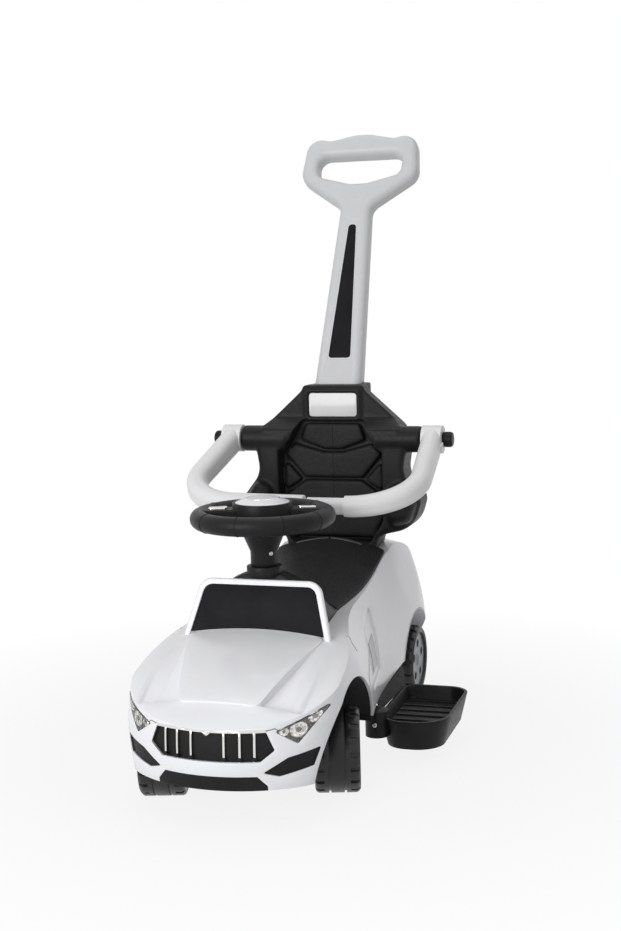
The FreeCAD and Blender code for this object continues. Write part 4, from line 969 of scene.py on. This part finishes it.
@dataclass
class Bodywork:
    """The white shell with its windscreen panel, arch liners, sills and chassis.

    Lines are points near the surface of the car's left side, in metres, and throws point at that side.
    """

    shell_rounding: float = 1.2 * MM
    panel_rounding: float = 0.5 * MM
    pan_rounding: float = 0.6 * MM
    shut_seam: float = 0.55 * MM
    door_seam: float = 0.4 * MM
    hood_line: Line = ((0.0690, -0.382, 0.1285), (0.0795, -0.376, 0.1305))
    lens_line: Line = ((0.0800, -0.375, 0.1262), (0.1350, -0.315, 0.1498))
    lens_steps: int = 24
    hood_throw: Point = (-0.6, 0.8, -0.1)
    door_line: Line = ((0.1145, -0.1849, 0.1979), (0.1229, -0.1865, 0.1893), (0.1272, -0.1789, 0.177))
    door_throw: Point = (-0.9, -0.1, -0.4)
    door_edge: Line = ((0.118, -0.0855, 0.1553), (0.1259, -0.1162, 0.1456), (0.1344, -0.1487, 0.1356),
                       (0.1385, -0.158, 0.124))
    arch_middle: Point = (0.16, 0.222, 0.055)
    arch_radius: float = 0.0865
    arch_span_deg: Pair = (4.0, 176.0)
    arch_steps: int = 40
    vent: Line = ((0.121, -0.106, 0.120), (0.118, -0.080, 0.156), (0.113, -0.028, 0.163),
                  (0.118, -0.042, 0.122))
    vent_cells: int = 10
    vent_lift: float = 0.3 * MM
    fin_shares: Pair = (0.45, 0.30)
    fin_lift: float = 0.2 * MM
    fin_radius: float = 1.5 * MM
    sill_top: Line = ((0.1232, -0.067, 0.0765), (0.1178, -0.020, 0.0765), (0.1140, 0.060, 0.0765),
                      (0.1105, 0.126, 0.0765))
    sill_foot: Line = ((0.1282, -0.067, 0.0632), (0.1290, -0.020, 0.0632), (0.1286, 0.060, 0.0632),
                       (0.1150, 0.126, 0.0690))
    sill_facing: Point = (1.0, 0.0, 1.0)
    sill_steps: int = 12
    sill_wall: float = 1.6 * MM
    sill_rounding_share: float = 0.3
    pan_screws: Line = ((0.100, -0.020, 0.072), (0.095, 0.060, 0.072), (0.090, 0.120, 0.072),
                        (0.036, -0.205, 0.072))
    pan_screw_radius: float = 4.0 * MM

    def build(self) -> None:
        """Dresses the shell and what is fixed inside it, then draws its joints."""
        dress(WHITE_BODY, self.shell_rounding, "body_shell")
        dress(DARK_PANEL, self.panel_rounding, "windscreen_panel")
        # The arch liners are black plastic; their black also stands in as painted shade deep inside the wheel
        # wells.
        dress(BLACK_UNDER, 0.0, "arch_liner_left", "arch_liner_right")
        dress(BLACK_UNDER, self.pan_rounding, "chassis_pan")
        shell = Skin("body_shell")
        self._seams(shell)
        self._vents(shell)
        self._sills()
        under = Skin("chassis_pan").pairs(self.pan_screws, UP)
        SHOP.screws("pan_screws", under, "chassis", self.pan_screw_radius)

    def _seams(self, shell: Skin) -> None:
        """Draws the bonnet's shut line, the doors' lines and the edge of each rear arch.

        Args:
            shell: The shell's surface.
        """
        first, last = self.arch_span_deg
        turns = [math.radians(first + (last - first) * step / self.arch_steps)
                 for step in range(self.arch_steps + 1)]
        x, y, z = self.arch_middle
        arch = [(x, y + self.arch_radius * math.cos(turn), z + self.arch_radius * math.sin(turn))
                for turn in turns]
        shut, doors = [], []
        for sign, side in SIDES:
            lens = Skin("headlight_lens_" + side)
            ahead, aslant, inward = on_side((self.hood_throw, self.door_throw, INWARD), sign)
            shut.append(shell.line(on_side(self.hood_line, sign), ahead)
                        + lens.line(on_side(self.lens_line, sign), ahead, steps=self.lens_steps))
            doors.append(shell.line(on_side(self.door_line, sign), aslant))
            doors.append(shell.line(on_side(self.door_edge, sign), inward))
            doors.append(shell.line(on_side(arch, sign), inward, steps=1))
        SHOP.beads("bonnet_shut_lines", shut, "chassis", SEAM_GREY, self.shut_seam)
        SHOP.beads("door_lines", doors, "chassis", SEAM_GREY, self.door_seam)

    def _vents(self, shell: Skin) -> None:
        """Lays a painted shade, a darker grey sheet, on the floor of each side vent, and the fin in it.

        Args:
            shell: The shell's surface.
        """
        shares = [cell / self.vent_cells for cell in range(self.vent_cells + 1)]
        for sign, side in SIDES:
            low, first, top, last = (Vector(point) for point in on_side(self.vent, sign))
            inward, = on_side((INWARD,), sign)
            rows = [[low.lerp(first, up).lerp(last.lerp(top, up), along) for along in shares]
                    for up in shares]
            # Painted shade: the grey sheet darkens the vent's recess, where the white shell would be in
            # shade.
            add_piece("vent_floor_" + side, shell.sheet(rows, inward, self.vent_lift), "chassis", VENT_SHADE)
            foot, head = self.fin_shares
            fin = shell.line((low.lerp(last, foot), first.lerp(top, head)), inward, self.fin_lift)
            SHOP.beads("vent_fin_" + side, [fin], "chassis", WHITE_BODY, self.fin_radius)

    def _sills(self) -> None:
        """Hangs the black sill that closes the gap above each footrest; its black is also painted shade,
        standing in for the shadow under the car.
        """
        for sign, side in SIDES:
            rows = [eased(on_side(edge, sign), self.sill_steps) for edge in (self.sill_top, self.sill_foot)]
            sill = placed("sill", quilt(rows, on_side((self.sill_facing,), sign)[0], smooth=False))
            modify(sill, "SOLIDIFY", thickness=self.sill_wall, offset=-1.0)
            modify(sill, "BEVEL", width=self.sill_wall * self.sill_rounding_share, segments=2)
            add_piece("sill_" + side, settled(sill, "sill_" + side), "chassis", BLACK_UNDER)


@dataclass
class Nose:
    """Grille, headlights, intakes and lip."""

    rounding: float = 0.5 * MM
    front_y: float = -0.38
    bar_places: tuple[float, ...] = (0.021, 0.040, 0.057)
    foot_height: float = 0.0945
    foot_size: Point = (5.0 * MM, 5.0 * MM, 3.4 * MM)
    foot_rounding: float = 1.2 * MM
    strip_reach: float = 12.0 * MM
    notch_half: float = 5.2 * MM
    notch_drop: float = 4.2 * MM
    notch_proud: float = 0.2 * MM
    notch_radius: float = 1.2 * MM
    notch_shares: tuple[float, ...] = (-1.0, -0.5, 0.0, 0.5, 1.0)

    def build(self) -> None:
        """Dresses the nose's fittings and adds the bars' feet and the strip's notch."""
        dress(BLACK_PLASTIC, 0.0, "grille_insert")
        dress(BRIGHT_TRIM, self.rounding, "grille_bars")
        dress(BRIGHT_TRIM, 0.0, "grille_strip")
        dress(BLACK_PLASTIC, self.rounding, "front_lip")
        for _, side in SIDES:
            dress(CLEAR_COVER, 0.0, "headlight_lens_" + side)
            dress(BRIGHT_BOWL, 0.0, "headlight_bowl_" + side)
            dress(BLACK_PLASTIC, 0.0, "fog_intake_" + side)
        low = [(x, self.front_y, self.foot_height) for x in self.bar_places]
        feet = Skin("grille_bars").pairs(low, REARWARD)
        foot = block("foot", self.foot_size, self.foot_rounding)
        SHOP.stand("bar_feet", foot, feet, "chassis", BLACK_PLASTIC)
        self._notch(Skin("grille_strip"))

    def _notch(self, strip: Skin) -> None:
        """Fills the small notch that hangs from the strip's middle.

        Args:
            strip: The strip's surface.
        """
        near = [vert.co.z for vert in strip.shape.verts if abs(vert.co.x) < self.strip_reach]
        middle = (0.0, self.front_y, (min(near) + max(near)) / 2.0)
        place = strip.spots([middle], REARWARD)[0][0]
        tip = place + Vector((0.0, -self.notch_proud, -self.notch_drop))
        notch = [[place + Vector((self.notch_half * share, -self.notch_proud, 0.0)), tip]
                 for share in self.notch_shares]
        SHOP.beads("strip_notch", notch, "chassis", BRIGHT_TRIM, self.notch_radius)


@dataclass
class Cabin:
    """Dash, saddle, backrest and its plate."""

    rounding: float = 2.0 * MM
    plate_rounding: float = 0.4 * MM
    voxel: float = 1.8 * MM
    rounds: int = 14
    pad_depths: Pair = (0.1575, 0.1685)
    pad_half_width: float = 0.085
    pad_top: float = 0.446
    pad_slope: float = -0.5
    seat_edge: Line = ((-0.052, 0.131, 0.27), (0.0, 0.135, 0.27), (0.052, 0.131, 0.27))
    seat_edge_steps: int = 24
    seat_roll: float = 2.6 * MM
    parting: Line = ((0.0, 0.15, 0.315), (0.0, 0.15, 0.436))
    parting_steps: int = 40
    parting_radius: float = 0.5 * MM
    rear_screws: Line = ((0.062, 0.21, 0.300), (0.070, 0.21, 0.395), (0.030, 0.23, 0.470))
    rear_screw_radius: float = 3.6 * MM

    def build(self) -> None:
        """Dresses the cabin and adds the seat's roll and the backrest's grain, parting line and screws."""
        dress(BLACK_PLASTIC, self.rounding, "dash_cover")
        dress(BLACK_GRAINED, self.rounding, "seat")
        dress(PLATE_WHITE, self.plate_rounding, "backrest_plate")
        self._backrest()
        roll = Skin("seat").line(self.seat_edge, DOWN, steps=self.seat_edge_steps)
        SHOP.beads("seat_roll", [roll], "chassis", BLACK_GLOSS, self.seat_roll)
        skin = Skin("backrest")
        line = skin.line(self.parting, REARWARD, steps=self.parting_steps)
        SHOP.beads("backrest_parting", [line], "chassis", BLACK_PLASTIC, self.parting_radius)
        rear = skin.pairs(self.rear_screws, FORWARD)
        SHOP.screws("backrest_screws", rear, "chassis", self.rear_screw_radius)

    def _backrest(self) -> None:
        """Dresses the backrest as a blow-moulded skin: soft edges, and grain on the pads' faces."""
        soft = placed("moulding", merged("backrest"))
        modify(soft, "REMESH", mode="VOXEL", voxel_size=self.voxel, use_smooth_shade=True)
        modify(soft, "SMOOTH", factor=0.5, iterations=self.rounds)
        mesh = settled(soft, "backrest_moulded")
        for finish in (BLACK_PLASTIC, BLACK_GRAINED):
            mesh.materials.append(finish.material())
        low, high = self.pad_depths
        for face in mesh.polygons:
            x, y, z = face.center
            on_pad = low < y < high and abs(x) < self.pad_half_width and z < self.pad_top
            if on_pad and face.normal.y < self.pad_slope:
                face.material_index = 1
        add_piece("backrest_shown", mesh, "chassis", BLACK_PLASTIC, ["backrest"])


@dataclass
class Handle:
    """The parent's push handle and its inset panel."""

    rounding: float = 0.8 * MM
    panel_rounding: float = 0.4 * MM
    lean_deg: float = 24.6
    rim_lift: float = 0.1 * MM
    rim_radius: float = 0.7 * MM

    def build(self) -> None:
        """Dresses the handle and lays the fine rim round its panel."""
        dress(LIGHT_GREY, self.rounding, "push_handle")
        dress(DARK_PANEL, self.panel_rounding, "handle_panel")
        lean = math.radians(self.lean_deg)
        rim = Skin("handle_panel").rim((0.0, -math.cos(lean), math.sin(lean)), self.rim_lift)
        SHOP.beads("panel_rim", [rim], "chassis", WHITE_TRIM, self.rim_radius, closed=True)


@dataclass
class Guard:
    """The two guard arms and their pivot knobs."""

    arm_rounding: float = 0.8 * MM
    knob_rounding: float = 0.6 * MM
    knob_middle: float = 0.1815
    knob_radius: float = 10.6 * MM
    flutes: int = 18
    flute_size: Point = (1.8 * MM, 2.0 * MM, 9.5 * MM)
    flute_rounding: float = 0.7 * MM

    def build(self) -> None:
        """Dresses arms and knobs and sets flutes round the knobs."""
        flute = block("flute", self.flute_size, self.flute_rounding)
        for sign, side in SIDES:
            dress(WHITE_TRIM, self.arm_rounding, "guard_arm_" + side)
            dress(BLACK_PLASTIC, self.knob_rounding, "guard_knob_" + side)
            pivot, _ = joint_of("guard_swing_" + side)
            axle = Vector((self.knob_middle * sign, pivot.y, pivot.z)), Vector((sign, 0.0, 0.0))
            SHOP.round("knob_flutes_" + side, flute, self.flutes, self.knob_radius, axle, "chassis",
                       BLACK_PLASTIC)


@dataclass
class Steering:
    """Steering wheel, column and gear."""

    wheel_rounding: float = 1.0 * MM
    horn_rounding: float = 0.6 * MM
    button_rounding: float = 0.5 * MM
    bush_rounding: float = 0.8 * MM
    beam_rounding: float = 0.6 * MM
    link_rounding: float = 0.4 * MM
    rim_radius: float = 0.084
    rim_height: float = 0.350
    tube: float = 12.6 * MM
    rest_deg: float = 16.0
    seams_deg: tuple[float, ...] = (-125.0, -55.0, -19.0, 19.0, 55.0, 125.0)
    seam_radius: float = 0.45 * MM
    seam_points: int = 32
    disc_radius: float = 0.022
    disc_height: float = 0.375
    disc_shares: tuple[float, ...] = (0.02 / 6, 1 / 6, 2 / 6, 3 / 6, 4 / 6, 5 / 6, 1.0)
    disc_points: int = 48
    disc_lift: float = 0.25 * MM
    edge_lift: float = 0.1 * MM
    edge_radius: float = 0.7 * MM
    screw_height: float = 0.303
    screw_facing: Point = (0.75, -0.66, 0.0)
    screw_reach: float = 0.02
    screw_radius: float = 3.0 * MM

    def build(self) -> None:
        """Dresses the steering and adds seams, the dome's bare disc and the sleeve's screw."""
        dress(BLACK_PLASTIC, self.wheel_rounding, "steering_wheel")
        dress(WHITE_BODY, self.horn_rounding, "horn_button")
        dress(BRIGHT_TRIM, self.button_rounding, "spoke_button_left", "spoke_button_right")
        dress(BLACK_UNDER, 0.0, "sound_module")
        dress(BLACK_PLASTIC, self.wheel_rounding, "column_sleeve")
        dress(BLACK_PLASTIC, self.bush_rounding, "column_bush")
        dress(STEEL, 0.0, "steering_column")
        dress(BLACK_UNDER, self.link_rounding, "drag_link")
        dress(BLACK_UNDER, self.beam_rounding, "front_axle_beam")
        dress(BLACK_UNDER, self.link_rounding, "king_pin_cap")
        dress(STEEL, 0.0, "front_axle_rod", "rear_axle_rod")
        pivot, up = joint_of("steering_turn")
        self._seams(pivot, up)
        self._disc(pivot)
        ahead = Vector(self.screw_facing).normalized()
        near = Vector((pivot.x, pivot.y, self.screw_height)) + ahead * self.screw_reach
        spots = Skin("column_sleeve").spots([near], -ahead)
        SHOP.screws("sleeve_screw", spots, "steering", self.screw_radius)

    def _seams(self, pivot: Vector, up: Vector) -> None:
        """Rings the rim where its halves and grips meet.

        Args:
            pivot: A point on the column's axis.
            up: The axis.
        """
        rings = []
        for seam in self.seams_deg:
            turn = math.radians(self.rest_deg + seam)
            out = Vector((math.sin(turn), -math.cos(turn), 0.0))
            middle = Vector((pivot.x, pivot.y, self.rim_height)) + out * self.rim_radius
            rings.append(circle(middle, out * self.tube, up * self.tube, self.seam_points))
        SHOP.beads("rim_seams", rings, "steering", SEAM_BLACK, self.seam_radius, closed=True)

    def _disc(self, pivot: Vector) -> None:
        """Lays a bare silver disc and its edge on the horn's dome.

        Args:
            pivot: A point on the column's axis.
        """
        skin = Skin("horn_button")
        top = Vector((pivot.x, pivot.y, self.disc_height))
        rows = []
        for share in self.disc_shares:
            size = self.disc_radius * share
            ring = circle(top, Vector((size, 0.0, 0.0)), Vector((0.0, size, 0.0)), self.disc_points)
            rows.append(ring + ring[:1])
        add_piece("horn_disc", skin.sheet(rows, DOWN, self.disc_lift), "horn", LIGHT_GREY)
        edge = skin.line(rows[-1], DOWN, self.edge_lift, steps=1)
        SHOP.beads("horn_disc_edge", [edge], "horn", BRIGHT_TRIM, self.edge_radius)


@dataclass
class Wheels:
    """The four wheels with their caps and clips."""

    corners: tuple[str, ...] = ("front_left", "front_right", "rear_left", "rear_right")
    tyre_rounding: float = 0.6 * MM
    cap_rounding: float = 0.5 * MM
    ring_sizes: Pair = (0.0465, 0.0505)
    ring_reach: float = 0.029
    ring_radius: float = 0.6 * MM
    ring_points: int = 96

    def build(self) -> None:
        """Dresses the wheels and raises two rings on each tyre's outer wall."""
        for corner in self.corners:
            wheel = "wheel_" + corner
            dress(WHEEL_BLACK, self.tyre_rounding, wheel)
            dress(HUB_GREY, self.cap_rounding, "hub_cap_" + corner)
            dress(STEEL, 0.0, "axle_clip_" + corner)
            place, axis = joint_of("wheel_spin_" + corner)
            out = axis.normalized() * (1.0 if corner.endswith("left") else -1.0)
            up = Vector(UP)
            across = out.cross(up)
            skin, outside = Skin(wheel), place + out * self.ring_reach
            rings = [circle(outside, across * size, up * size, self.ring_points) for size in self.ring_sizes]
            lines = [[spot[0] for spot in skin.spots(ring, -out)] for ring in rings]
            SHOP.beads("tyre_rings_" + corner, lines, wheel, WHEEL_BLACK, self.ring_radius, closed=True)


@dataclass
class Footrests:
    """The two sliding footrest trays."""

    rounding: float = 1.0 * MM
    screw_place: Point = (0.1290, -0.105, 0.0545)
    screw_radius: float = 3.2 * MM

    def build(self) -> None:
        """Dresses the trays and drives the screw into each boss."""
        for sign, side in SIDES:
            tray = "footrest_" + side
            dress(BLACK_PLASTIC, self.rounding, tray)
            spots = Skin(tray).spots(on_side((self.screw_place,), sign), REARWARD)
            SHOP.screws("footrest_screw_" + side, spots, tray, self.screw_radius)


@dataclass(frozen=True)
class Lamp:
    """A square soft lamp: its name, place, side length in metres and power in watts."""

    name: str
    place: Point
    size: float
    power: float


@dataclass
class Studio:
    """Pale floor, soft lights and the camera."""

    eye: Point = (0.6254, -1.9431, 0.6559)
    heading_deg: float = 17.46
    pitch_deg: float = 7.27
    roll_deg: float = 1.53
    lens: float = 55.75
    sensor: float = 36.0
    floor_radius: float = 14.0
    floor_sides: int = 96
    floor_colour: Colour = (0.72, 0.72, 0.72)
    floor_fade: Pair = (0.35, 0.85)
    floor_white: Pair = (0.86, 1.0)
    sky: float = 0.38
    aim: Point = (0.0, -0.1, 0.3)
    lamps: tuple[Lamp, ...] = (Lamp("key_light", (-0.8, -2.7, 1.0), 1.8, 46.0),
                               Lamp("fill_light", (2.2, -1.5, 1.5), 1.8, 4.5),
                               Lamp("top_light", (0.1, 0.4, 2.7), 1.8, 10.0))

    def build(self) -> None:
        """Sets up floor, world, lamps and camera."""
        self._floor()
        self._world()
        for lamp in self.lamps:
            self._hang(lamp)
        self._camera()
        bpy.context.scene.view_settings.view_transform = "Standard"

    def _floor(self) -> None:
        """Lays a round pale floor that fades to the white of the background."""
        shape = bmesh.new()
        bmesh.ops.create_circle(shape, cap_ends=True, segments=self.floor_sides, radius=self.floor_radius)
        floor = placed("floor", mesh_of("floor", shape))
        made = bpy.data.materials.new("pale_floor")
        made.use_nodes = True
        wiring = Wiring(made.node_tree)
        reach = wiring.node("ShaderNodeVectorMath", {0: wiring.place()}, operation="LENGTH").outputs["Value"]
        white = wiring.ranged(reach, self.floor_fade, self.floor_white)
        matt = wiring.node("ShaderNodeBsdfDiffuse", {"Color": (*self.floor_colour, 1.0)})
        glow = wiring.node("ShaderNodeEmission", {"Color": WHITE, "Strength": 1.0})
        shader = wiring.node("ShaderNodeMixShader", {0: wiring.maths("MULTIPLY", white, wiring.backdrop()),
                                                     1: matt.outputs[0], 2: glow.outputs[0]})
        wiring.node("ShaderNodeOutputMaterial", {"Surface": shader.outputs[0]})
        floor.data.materials.append(made)
        floor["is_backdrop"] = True

    def _world(self) -> None:
        """Gives an even soft light, and plain white where it is seen."""
        world = bpy.data.worlds.new("studio")
        bpy.context.scene.world = world
        world.use_nodes = True
        wiring = Wiring(world.node_tree)
        soft, white = (wiring.node("ShaderNodeBackground", {"Color": WHITE, "Strength": strength}).outputs[0]
                       for strength in (self.sky, 1.0))
        shader = wiring.node("ShaderNodeMixShader", {0: wiring.backdrop(), 1: soft, 2: white})
        wiring.node("ShaderNodeOutputWorld", {"Surface": shader.outputs[0]})

    def _hang(self, lamp: Lamp) -> None:
        """Hangs a lamp and points it at the car.

        Args:
            lamp: The lamp.
        """
        data = bpy.data.lights.new(lamp.name, "AREA")
        data.shape, data.size, data.energy = "SQUARE", lamp.size, lamp.power
        hung = placed(lamp.name, data)
        hung.location = lamp.place
        hung.rotation_euler = (Vector(self.aim) - Vector(lamp.place)).to_track_quat("-Z", "Y").to_euler()

    def _camera(self) -> None:
        """Stands the camera where the photograph was taken from."""
        heading, pitch, roll = (math.radians(x) for x in (self.heading_deg, self.pitch_deg, self.roll_deg))
        ahead = Vector((-math.sin(heading) * math.cos(pitch), math.cos(heading) * math.cos(pitch),
                        -math.sin(pitch)))
        right = ahead.cross(Vector(UP)).normalized()
        up = right.cross(ahead)
        turned_right = right * math.cos(roll) - up * math.sin(roll)
        turned_up = right * math.sin(roll) + up * math.cos(roll)
        data = bpy.data.cameras.new("camera")
        data.lens, data.sensor_width = self.lens, self.sensor
        camera = placed("camera", data)
        turn = Matrix((turned_right, turned_up, -ahead)).transposed()
        camera.matrix_world = Matrix.Translation(Vector(self.eye)) @ turn.to_4x4()
        bpy.context.scene.camera = camera


def corners(box: Spot) -> list[list[float]]:
    """A box as plain lists of numbers."""
    return [list(corner) for corner in box]


def main() -> None:
    """Builds the studio and each part of the car."""
    logging.basicConfig(level=logging.INFO, format="%(name)s %(message)s")
    cad_box = corners(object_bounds())
    for assembly in (Studio(), Bodywork(), Nose(), Cabin(), Handle(), Guard(), Steering(), Wheels(),
                     Footrests()):
        log.info("building %s", type(assembly).__name__)
        assembly.build()
    SHOP.sweep()
    {"cad": cad_box, "visual": corners(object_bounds())}


if __name__ == "__main__":
    main()
